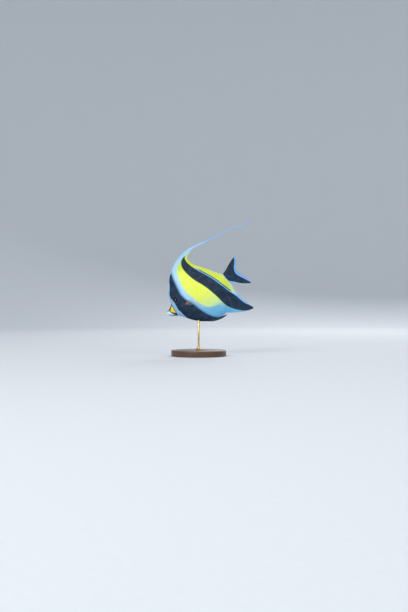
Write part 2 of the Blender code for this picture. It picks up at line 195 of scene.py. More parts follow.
# Tips of the fins' rays: the station of a ray's root (its share in the tail fin), then x and z.
DORSAL_TIPS = (
    (11.0, 107.0, 86.2),
    (11.5, 107.0, 80.4),
    (12.0, 101.4, 77.7),
    (12.5, 95.4, 75.4),
    (13.0, 92.8, 70.9),
    (13.5, 93.4, 64.0),
    (14.0, 96.0, 57.2),
    (15.0, 105.2, 44.8),
    (16.0, 115.0, 33.9),
    (17.0, 123.0, 23.8),
    (18.0, 129.8, 15.6),
    (19.0, 134.4, 10.4),
    (20.0, 136.8, 8.2),
)
ANAL_TIPS = (
    (16.0, 155.8, -83.0),
    (16.3, 155.6, -77.4),
    (16.6, 152.0, -70.6),
    (17.0, 148.2, -62.6),
    (17.5, 144.2, -51.2),
    (18.0, 142.0, -41.0),
    (18.5, 141.2, -33.0),
    (19.0, 141.5, -26.0),
    (19.5, 142.3, -19.8),
    (20.0, 140.2, -14.6),
)
TAIL_TIPS = (
    (0.00, 178.0, -37.0),
    (0.10, 177.0, -29.0),
    (0.25, 171.6, -18.0),
    (0.40, 166.6, -8.4),
    (0.52, 165.4, -1.2),
    (0.65, 168.0, 7.6),
    (0.80, 172.6, 13.8),
    (0.92, 176.0, 20.2),
    (1.00, 177.4, 25.8),
)
# The dorsal filament: x, z, half its height and half its thickness.
FILAMENT = (
    (107.9, 83.3, 2.8, 1.0),
    (113.4, 83.8, 1.9, 0.9),
    (126.4, 83.0, 1.5, 0.8),
    (140.0, 81.0, 1.3, 0.72),
    (159.0, 79.1, 1.15, 0.66),
    (178.5, 77.6, 1.05, 0.6),
    (198.0, 76.2, 0.95, 0.55),
    (211.0, 74.2, 0.85, 0.5),
    (224.0, 70.9, 0.7, 0.44),
    (240.0, 68.6, 0.4, 0.32),
)
# Half thicknesses of the membrane and of the spines in front of the dorsal and the anal fin.
MEMBRANE = 0.13
DORSAL_SPINE = 0.9
ANAL_SPINE = 0.6


def ray_point(root, tip, leave, arrive, along):
    """Points on fin rays that leave their roots and reach their tips at these angles, in degrees."""
    chord = np.linalg.norm(tip - root, axis=-1, keepdims=True)
    leave = np.radians(leave)
    arrive = np.radians(arrive)
    first = root + 0.27 * chord * paired(np.cos(leave), np.sin(leave))
    second = tip - 0.36 * chord * paired(np.cos(arrive), np.sin(arrive))
    along = np.asarray(along)[..., None]
    rest = 1 - along
    outer = rest**3 * root + along**3 * tip
    return outer + 3 * rest * rest * along * first + 3 * rest * along * along * second


def angle_between(root, tip):
    """The way from a root to a tip, in degrees over the fish's level."""
    return np.degrees(np.arctan2(tip[..., 1] - root[..., 1], tip[..., 0] - root[..., 0]))


def median_ray(s, along, tips, start, share, leave_first, arrive_first):
    """Points of the dorsal or the anal fin. The first rays are bowed and the others straight."""
    s, along = np.broadcast_arrays(np.asarray(s, float), np.asarray(along, float))
    root = body_point(s, np.full(s.shape, share))
    tip = through([t[0] for t in tips], [t[1:] for t in tips], s)
    chord = angle_between(root, tip)
    bowed = 1 - smooth_step((s - start) / 2.2)
    leave = chord + (leave_first - chord) * bowed
    arrive = chord + (arrive_first - chord) * bowed
    return ray_point(root, tip, leave, arrive, along)


def dorsal_point(s, along):
    return median_ray(s, along, DORSAL_TIPS, DORSAL_START, 1.0, 50.0, 0.0)


def anal_point(s, along):
    return median_ray(s, along, ANAL_TIPS, ANAL_START, 0.0, -33.0, -5.0)


def tail_point(share, along):
    """Points of the tail fin. Its outer rays leave the body almost straight and then spread."""
    share, along = np.broadcast_arrays(np.asarray(share, float), np.asarray(along, float))
    root = body_point(np.full(share.shape, TAIL_START), share)
    tip = through([t[0] for t in TAIL_TIPS], [t[1:] for t in TAIL_TIPS], share)
    angle = angle_between(root, tip) - 14 * (2 * share - 1)
    return ray_point(root, tip, angle, angle, along)


def thinning(root, along):
    """Half the thickness of a fin, from its fleshy root out to the bare membrane."""
    return MEMBRANE + (root - MEMBRANE) * (1 - smooth_step(1.25 * along))


def led_fin(s, along, point, start, root, spine):
    """Half the thickness of a dorsal or anal fin, whose first spine rounds its leading edge."""
    lead = point(s, along) - point(np.full(np.shape(s), start), along)
    ahead = np.linalg.norm(lead, axis=-1)
    plain = thinning(fin_root(s, start, root), along) * rounded(ahead, 0.5)
    rib = spine * rounded(ahead, spine) * (1 - smooth_step((ahead - spine) / 1.2))
    rear = rounded((TAIL_START - s) * 6.0, 1.5)
    return np.maximum(plain, rib) * rear


def dorsal_half(s, along):
    """The fin's thickness, which swells into the root of the filament at the first rays' tips."""
    fin = led_fin(s, along, dorsal_point, DORSAL_START, DORSAL_ROOT, DORSAL_SPINE)
    across = 1 - 2 * (s - DORSAL_START) / (FILAMENT_END - DORSAL_START)
    tube = FILAMENT[0][3] * np.sqrt(np.clip(1 - across**2, 0.0, 1.0))
    share = smooth_step((along - 0.8) / 0.2) * (s <= FILAMENT_END)
    return fin + (tube - fin) * share


def anal_half(s, along):
    return led_fin(s, along, anal_point, ANAL_START, ANAL_ROOT, ANAL_SPINE)


def tail_half(share, along):
    root = body_half(np.full(np.shape(share), TAIL_START), share)
    return thinning(root, along) * rounded(np.minimum(share, 1 - share), 0.03)


# The eye's middle: x, z and how far out of the midplane. It looks a little forwards and up.
EYE_AT = (30.0, 12.5)
EYE_OUT = 8.8
EYE_SLOPE = (0.28, -0.14)
EYE_RADIUS = 4.8
EYE_DEPTH = 3.4
SOCKET_DEPTH = 2.4
LID_RADIUS = 5.0
LID_HEIGHT = 1.15
LID_RISE = 0.34
BROW_AT = (26.4, 20.4)
BROW_RADII = (3.2, 5.0)
BROW_RISE = 0.55
# Each nostril's x, z and radius.
NOSTRILS = ((23.7, 13.6, 0.62), (22.5, 11.7, 0.5))
CHEEK_EDGE = 35.6
GILL_EDGE = 44.4
GILL_RISE = 0.42
PECTORAL_BASE = (46.8, -6.4)
PECTORAL_ROOT_RADII = (4.2, 3.7)
PECTORAL_ROOT_RISE = 1.05
LATERAL_LINE = (
    (43, 14), (50, 28), (60, 37), (75, 38), (90, 30), (105, 17), (118, 6), (127, -0.5), (136, -3))
LATERAL_RISE = 0.2
# The gape, as a share of the snout's depth, and the station of the mouth's corner.
MOUTH_SHARE = 0.34
MOUTH_CORNER = 2.4


def gill_cover_edge(z):
    """x of the gill cover's rear edge at height z."""
    return GILL_EDGE - 0.0135 * (z + 1) ** 2 - 0.05 * np.maximum(0, -14 - z) ** 2


def eye_rim(x, z):
    """Distance from the eye's axis, and the half thickness of a hide that would rim it evenly."""
    back = x - EYE_AT[0]
    up = z - EYE_AT[1]
    lean = EYE_SLOPE[0] * back + EYE_SLOPE[1] * up
    return np.sqrt(back**2 + up**2 + lean**2), EYE_OUT + LID_HEIGHT + lean


def oval(x, z, at, radii):
    """How far out of an oval's middle a place of the side is, with 1 at the oval itself."""
    return np.hypot((x - at[0]) / radii[0], (z - at[1]) / radii[1])


def relief(x, z):
    """How far the hide stands out of the plain flank, in millimetres, at a point of the side."""
    # The eye's socket, its raised lid with a crease round it, and the brow.
    eye = eye_rim(x, z)[0]
    proud = -SOCKET_DEPTH * (1 - smooth_step((eye - LID_RADIUS + 1.5) / 0.7))
    proud = proud + LID_RISE * hump(eye - LID_RADIUS, 0.36) - 0.14 * hump(eye - LID_RADIUS - 1.5, 0.7)
    proud = proud + BROW_RISE * hump(oval(x, z, BROW_AT, BROW_RADII), 0.8)
    # The nostrils are pits with a low rim.
    for at_x, at_z, radius in NOSTRILS:
        nostril = np.hypot(x - at_x, z - at_z)
        proud = proud - 1.3 * hump(nostril, radius * 0.75) + 0.2 * hump(nostril - radius * 1.4, 0.28)
    # The cheek plate's rear edge, and the gill cover with the slit behind it.
    cheek = x - CHEEK_EDGE + 0.012 * (z + 2) ** 2
    cheek_part = smooth_step((z + 24) / 6) * smooth_step((16 - z) / 6)
    proud = proud + (0.16 * hump(cheek + 0.9, 0.9) - 0.24 * hump(cheek, 0.5)) * cheek_part
    gill = x - gill_cover_edge(z)
    gill_part = smooth_step((z + 28) / 5) * smooth_step((17 - z) / 4)
    plate = GILL_RISE * (1 - smooth_step((gill + 0.25) / 0.5)) * hump(np.minimum(gill, 0), 9.0)
    proud = proud + (plate - 0.4 * hump(gill - 0.5, 0.42)) * gill_part
    # The lateral line, and the fleshy root of the pectoral fin.
    line = through([p[0] for p in LATERAL_LINE], [p[1:] for p in LATERAL_LINE], x)[..., 0]
    line_part = smooth_step((x - 43) / 3) * smooth_step((135 - x) / 3)
    proud = proud + LATERAL_RISE * hump(z - line, 0.5) * line_part
    root = oval(x, z, PECTORAL_BASE, PECTORAL_ROOT_RADII)
    return proud + PECTORAL_ROOT_RISE * smooth_step(1.5 * (1 - root))


def lips(s, share):
    """The mouth's groove and the lips on both sides of it, as (how far in, how far out)."""
    top, bottom, _ = station(s)
    from_gape = (share - MOUTH_SHARE) * np.linalg.norm(top - bottom, axis=-1)
    ends = 1 - smooth_step((s - MOUTH_CORNER + 0.9) / 0.9)
    swell = 0.28 * hump(np.abs(from_gape) - 0.72, 0.4) * (1 - smooth_step((s - 1.5) / 1.2))
    return 0.8 * hump(from_gape, 0.2) * ends, swell


# The grid of the side: its columns are stations, closer on the face and where a fin starts, and its
# rows are shares of the height, closer at the top and the bottom.
first_rays = DORSAL_START + (FILAMENT_END - DORSAL_START) * (0.5 - 0.5 * np.cos(np.pi * np.arange(9) / 9))
anal_lead = ANAL_START + 0.3 * (np.arange(6) / 6) ** 1.6
columns = np.concatenate((
    spread((0.0, 18), (2.6, 40), (6.0, 18), (7.4, 50), (GILLS, 26), (DORSAL_START, 0))[:-1],
    first_rays,
    spread((FILAMENT_END, 50), (ANAL_START, 0))[:-1],
    anal_lead,
    spread((ANAL_START + 0.3, 44), (TAIL_START, 0)),
))
rim = 0.05 * (np.arange(9) / 9) ** 1.8
shares = np.concatenate((rim, spread((0.05, 58), (0.58, 36), (0.77, 18), (0.95, 0)), 1 - rim[::-1]))
shares = np.unique(shares)
alongs = 1 - (1 - np.arange(29) / 28) ** 1.4
tail_alongs = 1 - (1 - np.arange(35) / 34) ** 1.3
from_dorsal = int(np.searchsorted(columns, DORSAL_START))
to_filament = int(np.searchsorted(columns, FILAMENT_END))
from_anal = int(np.searchsorted(columns, ANAL_START))

# The side itself, sunk round the eye, cut by the gape, and as thick as the fins where they start.
s_grid, share_grid = np.meshgrid(columns, shares)
side = body_point(s_grid, share_grid)
half = body_half(s_grid, share_grid)
eye_gap, eye_level = eye_rim(side[..., 0], side[..., 1])
half = half + (eye_level - half) * (1 - smooth_step((eye_gap - LID_RADIUS - 0.3) / 2.2))
groove, swell = lips(s_grid, share_grid)
inner = rounded(np.minimum(share_grid, 1 - share_grid), 0.05)
half = np.maximum(half + (relief(side[..., 0], side[..., 1]) + swell) * inner - groove, 0.02)
half[0] = 0.0
half[-1] = 0.0
half[-1, from_dorsal:] = dorsal_half(columns[from_dorsal:], np.zeros(len(columns) - from_dorsal))
half[0, from_anal:] = anal_half(columns[from_anal:], np.zeros(len(columns) - from_anal))

# The unwrap: u follows the middle of the side backwards, and v is the girth above or below it.
middle_row = int(np.argmin(np.abs(shares - WIDEST_SHARE)))
lengths = run_along(side[middle_row])
girth = run_along(np.dstack((side, half)))
girth = girth - girth[middle_row]
patches = []


def add_patch(at, half, flat, head_coat, trunk_coat, grain, lie_axis):
    """A grid of the skin's side: its points, half thickness, unwrap and what the scales need."""
    shape = at.shape[:2]
    masks = [np.broadcast_to(np.asarray(m, float), shape) for m in (head_coat, trunk_coat, grain)]
    patches.append((at, half, flat, masks, lie_axis))


# There are no scales on the eyelids, the lips and the nostrils. They are smaller on the face and
# in the creases where the fins start.
before_eye = np.clip((EYE_AT[0] - side[..., 0]) / EYE_RADIUS, 0.0, 1.0)
bare = (eye_gap < LID_RADIUS + 0.35 + 0.45 * before_eye) | (s_grid < 1.4) | (groove > 0.03)
for nostril_x, nostril_z, radius in NOSTRILS:
    from_nostril = np.hypot(side[..., 0] - nostril_x + 0.3, side[..., 1] - nostril_z)
    bare = bare | (from_nostril < radius * 1.35 + 0.3)
head_coat = np.where((s_grid < GILLS) & ~bare, 1.0, 0.0)
trunk_coat = np.where(s_grid >= GILLS, 1.0, 0.0)
creases = np.where(s_grid > DORSAL_START, shares[-1] - share_grid, 1.0)
creases = np.minimum(creases, np.where(s_grid > ANAL_START, share_grid, 1.0))
grain = (0.62 + 0.38 * smooth_step((s_grid - 2) / 8)) * (0.62 + 0.38 * smooth_step(creases / 0.05))
flat = paired(lengths[None, :], girth)
add_patch(side, half, flat, head_coat, trunk_coat, grain, 1)

# The snout's blunt front closes across the middle, with the gape cut into it.
turns = np.radians(90 - 90 * np.arange(8) / 8)
front = np.repeat(side[:, :1], 8, axis=1)
blunt = 0.35 * np.sqrt(4 * shares * (1 - shares))[:, None] + 0.6 * swell[:, :1] - 0.8 * groove[:, :1]
front[..., 0] -= blunt * np.sin(turns)[None, :]
front = np.concatenate((front, side[:, :1]), axis=1)
front_half = np.concatenate((half[:, :1] * np.cos(turns)[None, :], half[:, :1]), axis=1)
front_half[:, 0] = 0.0
front_u = np.concatenate((-1.6 * np.sin(turns), [0.0]))
flat = paired(front_u[None, :], girth[:, :1])
add_patch(front, front_half, flat, 0.0, 0.0, 0.6, 1)

# Dorsal fin and anal fin, on from the body's edges.
for begin, row, point, thickness, upward in (
    (from_dorsal, -1, dorsal_point, dorsal_half, 1),
    (from_anal, 0, anal_point, anal_half, -1),
):
    fin_s, fin_along = np.meshgrid(columns[begin:], alongs)
    at = point(fin_s, fin_along)
    fin_half = thickness(fin_s, fin_along)
    fin_half[:, 0] = 0.0
    fin_half[:, -1] = 0.0
    first_closed = to_filament - begin if upward > 0 else 0
    fin_half[-1, first_closed:] = 0.0
    reach = run_along(at)
    fin_v = girth[row, begin:][None, :] + upward * reach
    flat = paired(lengths[begin:][None, :], fin_v)
    # A sleeve of ever smaller scales covers the root of the fin.
    from_front = fin_s - columns[begin]
    sleeve_depth = 0.36 + 0.34 * smooth_step((from_front - 1) / 2)
    sleeve = np.clip(1 - fin_along / sleeve_depth, 0.0, 1.0) * smooth_step((from_front + 0.1) / 0.5)
    fin_grain = (0.9 - 0.25 * fin_along) * (0.66 + 0.34 * smooth_step(reach / 3))
    add_patch(at, fin_half, flat, 0.0, sleeve, fin_grain, 0)
    if upward > 0:
        dorsal_top = fin_v.max()
        filament_start = at[-1, :first_closed + 1]
        filament_start_half = fin_half[-1, :first_closed + 1]

# Tail fin, on from the body's last column.
tail_s, tail_share = np.meshgrid(tail_alongs, shares)
at = tail_point(tail_share, tail_s)
fin_half = tail_half(tail_share, tail_s)
fin_half[:, 0] = half[:, -1]
fin_half[0] = 0.0
fin_half[-1] = 0.0
fin_half[:, -1] = 0.0
flat = paired(lengths[-1] + 40 * tail_s, girth[:, -1:] * (1 + 1.8 * tail_s))
add_patch(at, fin_half, flat, 0.0, np.clip(1 - tail_s / 0.3, 0.0, 1.0), 0.75, 1)

# Dorsal filament, on from the tips of the fin's first rays.
knots = range(len(FILAMENT))
steps = np.concatenate((spread((0.03, 118), (8.98, 0)), [9.0]))
run = through(knots, FILAMENT, steps)
course = through(knots, FILAMENT, steps + 0.01) - through(knots, FILAMENT, steps - 0.01)
course = course[:, 0:2] / np.linalg.norm(course[:, 0:2], axis=-1, keepdims=True)
across = np.cos(np.pi * np.arange(10) / 9)
shrink = np.where(np.arange(len(steps)) == len(steps) - 1, 0.0, 1.0)
rise = across[:, None] * (run[:, 2] * shrink)[None, :]
at = run[None, :, 0:2] + rise[..., None] * paired(-course[:, 1], course[:, 0])[None]
fin_half = np.sqrt(1 - across**2)[:, None] * (run[:, 3] * shrink)[None, :]
at = np.concatenate((filament_start[:, None], at), axis=1)
fin_half = np.concatenate((filament_start_half[:, None], fin_half), axis=1)
fin_half[0] = 0.0
fin_half[-1] = 0.0
strip_u = lengths[from_dorsal] + 12 + 132 * np.arange(at.shape[1]) / at.shape[1]
strip_v = dorsal_top - 2 - 5 * np.arange(10) / 9
flat = paired(strip_u[None, :], strip_v[:, None])
add_patch(at, fin_half, flat, 0.0, 0.0, 0.6, 1)

# Each side takes half of the unwrap, the left one first.
flat_low = np.min([patch[2].reshape(-1, 2).min(axis=0) for patch in patches], axis=0)
flat_high = np.max([patch[2].reshape(-1, 2).max(axis=0) for patch in patches], axis=0)
FLAT_SIDE = 0.492
FLAT_EDGE = 0.004
per_mm = np.array((FLAT_SIDE, 1 - 2 * FLAT_EDGE)) / (flat_high - flat_low)


def welded(name, grids, maps=None, values=None):
    """One mesh of grids of points, welded where they meet, its faces turned outwards.

    maps hold a place on the unwrap for each point, and values a number or a vector.
    """
    faces = []
    count = 0
    for grid in grids:
        ids = count + np.arange(grid[..., 0].size).reshape(grid.shape[:2])
        quads = np.stack((ids[:-1, :-1], ids[:-1, 1:], ids[1:, 1:], ids[1:, :-1]), axis=-1)
        faces.append(quads.reshape(-1, 4))
        count += ids.size
    faces = np.concatenate(faces)
    mesh = bpy.data.meshes.new(name)
    mesh.from_pydata(np.concatenate([grid.reshape(-1, 3) for grid in grids]), [], faces)
    for label, places in (maps or {}).items():
        places = np.concatenate([place.reshape(-1, 2) for place in places])
        mesh.uv_layers.new(name=label).data.foreach_set("uv", places[faces.ravel()].ravel())
    for label, numbers in (values or {}).items():
        kind, field = ("FLOAT_VECTOR", "vector") if numbers[0].ndim == 3 else ("FLOAT", "value")
        numbers = np.concatenate([number.ravel() for number in numbers])
        mesh.attributes.new(label, kind, "POINT").data.foreach_set(field, numbers)
    shape = bmesh.new()
    shape.from_mesh(mesh)
    bmesh.ops.remove_doubles(shape, verts=shape.verts, dist=1e-6)
    bmesh.ops.recalc_face_normals(shape, faces=shape.faces)
    if shape.calc_volume(signed=True) < 0:
        bmesh.ops.reverse_faces(shape, faces=shape.faces)
    shape.to_mesh(mesh)
    shape.free()
    mesh.shade_smooth()
    return mesh


grids, places, lies = [], [], []
masks = {"head coat": [], "trunk coat": [], "grain": []}
for at, half, flat, patch_masks, lie_axis in patches:
    for sign in (-1, 1):
        grid = in_scene(at[..., 0], sign * half, at[..., 1])
        lie = np.gradient(grid, axis=lie_axis)
        place = FLAT_EDGE + (flat - flat_low) * per_mm
        place[..., 0] += 0.5 * (sign > 0)
        grids.append(grid)
        places.append(place)
        lies.append(lie / np.maximum(np.linalg.norm(lie, axis=-1, keepdims=True), 1e-9))
        for mask, values in zip(masks.values(), patch_masks):
            mask.append(values)
skin_mesh = welded("skin", grids, {"OFBake": places}, {"lie": lies, **masks})


def piece_of(mesh, look):
    """A piece of a mesh's name, at the scene's origin, in its one material."""
    made = bpy.data.objects.new(mesh.name, mesh)
    bpy.context.scene.collection.objects.link(made)
    mesh.materials.clear()
    mesh.materials.append(look)
    return made


def settle(piece, finish, *nodes):
    """The piece rides on the model's one body and stands for these solids."""
    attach(piece, "root")
    if nodes:
        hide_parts(*nodes)


def put(tree, kind, given=None, **settings):
    """A node with its settings, and its inputs linked or set by name or place."""
    made = tree.nodes.new(kind)
    for key, value in settings.items():
        setattr(made, key, value)
    for key, value in (given or {}).items():
        if isinstance(value, Value):
            tree.links.new(value.socket, made.inputs[key])
        else:
            made.inputs[key].default_value = value
    return made


def outs(tree, kind, given=None, **settings):
    """All outputs of a new node."""
    return [Value(tree, socket) for socket in put(tree, kind, given, **settings).outputs]


def out(tree, kind, given=None, output=0, **settings):
    """One output of a new node."""
    return Value(tree, put(tree, kind, given, **settings).outputs[output])


class Value:
    """What a node puts out. Adding or multiplying values makes the nodes that do so."""

    def __init__(self, tree, socket):
        self.tree = tree
        self.socket = socket

    def to(self, socket):
        """Feeds this value to an input."""
        self.tree.links.new(self.socket, socket)

    def maths(self, operation, other=0.0, swapped=False):
        """What the operation makes of this value, or of this value and another, in this order."""
        first, second = (other, self) if swapped else (self, other)
        return out(self.tree, "ShaderNodeMath", {0: first, 1: second}, operation=operation)

    def __add__(self, other):
        return self.maths("ADD", other)

    def __sub__(self, other):
        return self.maths("SUBTRACT", other)

    def __rsub__(self, other):
        return self.maths("SUBTRACT", other, swapped=True)

    def __mul__(self, other):
        return self.maths("MULTIPLY", other)

    def __truediv__(self, other):
        return self.maths("DIVIDE", other)

    def __rtruediv__(self, other):
        return self.maths("DIVIDE", other, swapped=True)


def largest(first, *others):
    for other in others:
        first = first.maths("MAXIMUM", other)
    return first


def length_of(across, along):
    """The length of the long side of a right triangle."""
    return (across * across + along * along).maths("SQRT")


def split(vector):
    """A vector's x, y and z."""
    return outs(vector.tree, "ShaderNodeSeparateXYZ", {0: vector})


def joined(tree, x=0.0, y=0.0, z=0.0):
    return out(tree, "ShaderNodeCombineXYZ", {0: x, 1: y, 2: z})


def ramp(value, low, high, start=0.0, end=1.0):
    """A soft step from start to end, as the value goes from low to high."""
    given = {"Value": value, "From Min": low, "From Max": high, "To Min": start, "To Max": end}
    return out(value.tree, "ShaderNodeMapRange", given, "Result", interpolation_type="SMOOTHSTEP")


def noise(place, scale, detail):
    return out(place.tree, "ShaderNodeTexNoise", {"Vector": place, "Scale": scale, "Detail": detail})


def here(tree):
    """The place on the model, in the scene's metres."""
    return out(tree, "ShaderNodeTexCoord", output="Object")


def paint(under, over, mask):
    """One colour over another where the mask says."""
    return out(mask.tree, "ShaderNodeMix", {0: mask, 6: under, 7: over}, 2, data_type="RGBA")


def lit(colour, value):
    """A colour with its brightness multiplied."""
    return out(colour.tree, "ShaderNodeHueSaturation", {"Value": value, "Color": colour})


def shade(red, green, blue):
    """A colour given as it shows on a screen, 0 to 255, as the shader's linear one."""
    linear = [((c / 255 + 0.055) / 1.055) ** 2.4 if c > 10 else c / 255 / 12.92 for c in (red, green, blue)]
    return (*linear, 1.0)


def new_group(name, kind, inputs, outputs):
    """A node group with named sockets, as (the group, its inputs by name, its output node)."""
    group = bpy.data.node_groups.new(name, kind)
    for label, socket_type, value in inputs:
        socket = group.interface.new_socket(label, in_out="INPUT", socket_type="NodeSocket" + socket_type)
        if value is not None:
            socket.default_value = value
    for label, socket_type in outputs:
        group.interface.new_socket(label, in_out="OUTPUT", socket_type="NodeSocket" + socket_type)
    sockets = put(group, "NodeGroupInput").outputs
    given = {label: Value(group, sockets[label]) for label, _, _ in inputs}
    return group, given, put(group, "NodeGroupOutput")


# Edges of the markings as (z, x) points, from low to high, and the box they are drawn in.
CURVE_LOW = -90.0
CURVE_HIGH = 100.0
CURVE_REACH = 200.0
EDGES = {
    "band 1 front": (
        (-60, 33.5), (-36.6, 33.5), (-33, 32.8), (-22.6, 29.5), (-14.8, 27.6), (-7, 25.6), (3.4, 25.9),
        (12.5, 25.6), (19, 24.2), (24, 25.1), (28.8, 27.0), (38.8, 33.1), (45, 36.4), (50.5, 39), (62, 48)),
    "band 1 rear": (
        (-67.5, 103), (-65.5, 93.9), (-60.3, 83.5), (-51.2, 74.4), (-40.8, 67.9), (-30.4, 62.7),
        (-20, 58.8), (-9.6, 54.9), (0.8, 48.4), (8.6, 45.8), (19, 44.5), (26.8, 45.1), (46.3, 47.1),
        (55.4, 48.4), (62.5, 49.9)),
    "yellow front": (
        (-40.2, 100.4), (-38.2, 86.1), (-31.7, 75.7), (-22.6, 69.2), (-12.2, 64), (-1.8, 60.7),
        (8.6, 57.5), (19, 55.5), (29.4, 54.9), (41.1, 56.2), (54.1, 58.8), (61.9, 62.7), (69.2, 71.2),
        (71.5, 75.4), (73.5, 80.4), (75.6, 85), (77.3, 90), (78.4, 95), (79.3, 100), (80.2, 107), (84, 112)),
    "band 2 front": (
        (-83.1, 149.8), (-78.5, 139.4), (-72, 130.3), (-61.6, 119.9), (-52.5, 113.4), (-43.4, 109.5),
        (-33, 106.9), (-22.6, 104.3), (-10.9, 100.4), (-1.8, 97.1), (11.2, 91.3), (22.9, 84.8),
        (35.9, 79.6), (47.6, 76.3), (58, 75), (65.8, 76.3), (73, 80.9), (77.5, 90)),
    "band 2 rear": (
        (-84, 162), (-74.6, 154.0), (-66.8, 147.3), (-56.4, 142.7), (-46, 139.4), (-35.6, 134.8),
        (-26.5, 130.3), (-16.1, 126.4), (-7, 122.5), (3.4, 118.6), (13.8, 113.4), (25.5, 106.9),
        (36.5, 100.4), (46.3, 95.2), (56.7, 90.9), (61.5, 89.2), (66, 88.4), (72.3, 88.6), (78.2, 91.8)),
    "tail front": (
        (-44, 168), (-34, 163.5), (-28, 159.2), (-25.5, 157.2), (-23, 154.8), (-18.8, 150.8),
        (-14.8, 146.1), (-10.9, 141.5), (-8.3, 140.0), (0.8, 138.1), (8.6, 137.6), (16, 146)),
    "tail rear": (
        (-37, 178.5), (-34, 177), (-28.4, 173.8), (-17.8, 167.3), (-8.2, 161.9), (-1.6, 161.0),
        (7.6, 164.0), (13.8, 168.8), (20.4, 172.7), (25.6, 174.7)),
    "fins rear": (
        (-85, 162), (-77.4, 156.4), (-70.6, 152.4), (-62.6, 148.2), (-51.2, 144.2), (-41, 142), (-33, 141.2),
        (-26, 141.5), (-19.8, 142.3), (-14.6, 140.2), (8.2, 136.8), (10.4, 134.4), (15.6, 129.8),
        (23.8, 123.0), (33.9, 115.0), (44.8, 105.2)),
    "saddle front": ((-14, 19), (-11.2, 17.8), (-7, 13.3), (-2, 10.7), (1.5, 13.6), (5.5, 17.6), (9, 20)),
    "face front": (
        (-20, 17.6), (-17, 16.4), (-14, 14.8), (-11, 12.8), (-5.5, 9.9), (-2, 8.9), (1, 9.2), (5, 12)),
}
# x where the snout and its saddle end and the filament starts, and z where the saddle, the dorsal
# fin's pale front and the tail's black start or end.
SNOUT_END = 19.2
SADDLE_END = 18.0
SADDLE_LOW = -11.2
LEAD_FROM = (58.0, 64.0)
STREAMER_FROM = 106.0
TAIL_TOP = (26.0, 30.0)
SPOT_RADII = (3.4, 2.5)
WHITE = shade(174, 218, 250)
SNOUT = shade(204, 240, 255)
STRIPE = shade(140, 192, 236)
# The pale ground in painted shade low on the belly, and in deeper painted shade at its bottom.
PALE_IN_SHADE = shade(110, 182, 218)
PALE_IN_DEEP_SHADE = shade(86, 162, 208)
DEEP_SKY = shade(66, 122, 180)
LINE = shade(112, 182, 246)
STREAMER = shade(162, 211, 250)
STREAMER_END = shade(130, 188, 244)
TAIL_MARGIN = shade(100, 148, 204)
BAND = shade(12, 34, 54)
# A lighter blue, painted on the black in random patches as sheen.
BAND_SHEEN = shade(26, 58, 84)
YELLOW_TOP = shade(202, 224, 58)
YELLOW = shade(236, 247, 90)
YELLOW_LOW = shade(212, 238, 140)
REAR_YELLOW = shade(213, 228, 68)
REAR_YELLOW_TOP = shade(206, 228, 22)
SADDLE = shade(255, 218, 0)
SPOT = shade(150, 98, 62)


def edge_curve(height, edge):
    """x of an edge of the markings, at a height given as a share of the curve's span."""
    curve = put(height.tree, "ShaderNodeFloatCurve", {"Value": height})
    points = curve.mapping.curves[0].points
    places = [((z - CURVE_LOW) / (CURVE_HIGH - CURVE_LOW), x / CURVE_REACH) for z, x in edge]
    points[0].location = places[0]
    points[1].location = places[-1]
    for place in places[1:-1]:
        points.new(*place)
    for point in points:
        point.handle_type = "AUTO_CLAMPED"
    curve.mapping.extend = "HORIZONTAL"
    curve.mapping.update()
    return Value(height.tree, curve.outputs[0]) * CURVE_REACH


def behind(x, edge, soft, shift=0.0):
    """How far x is behind an edge, as a mask that is soft over so many millimetres."""
    return ramp(x - edge, shift - soft / 2, shift + soft / 2)


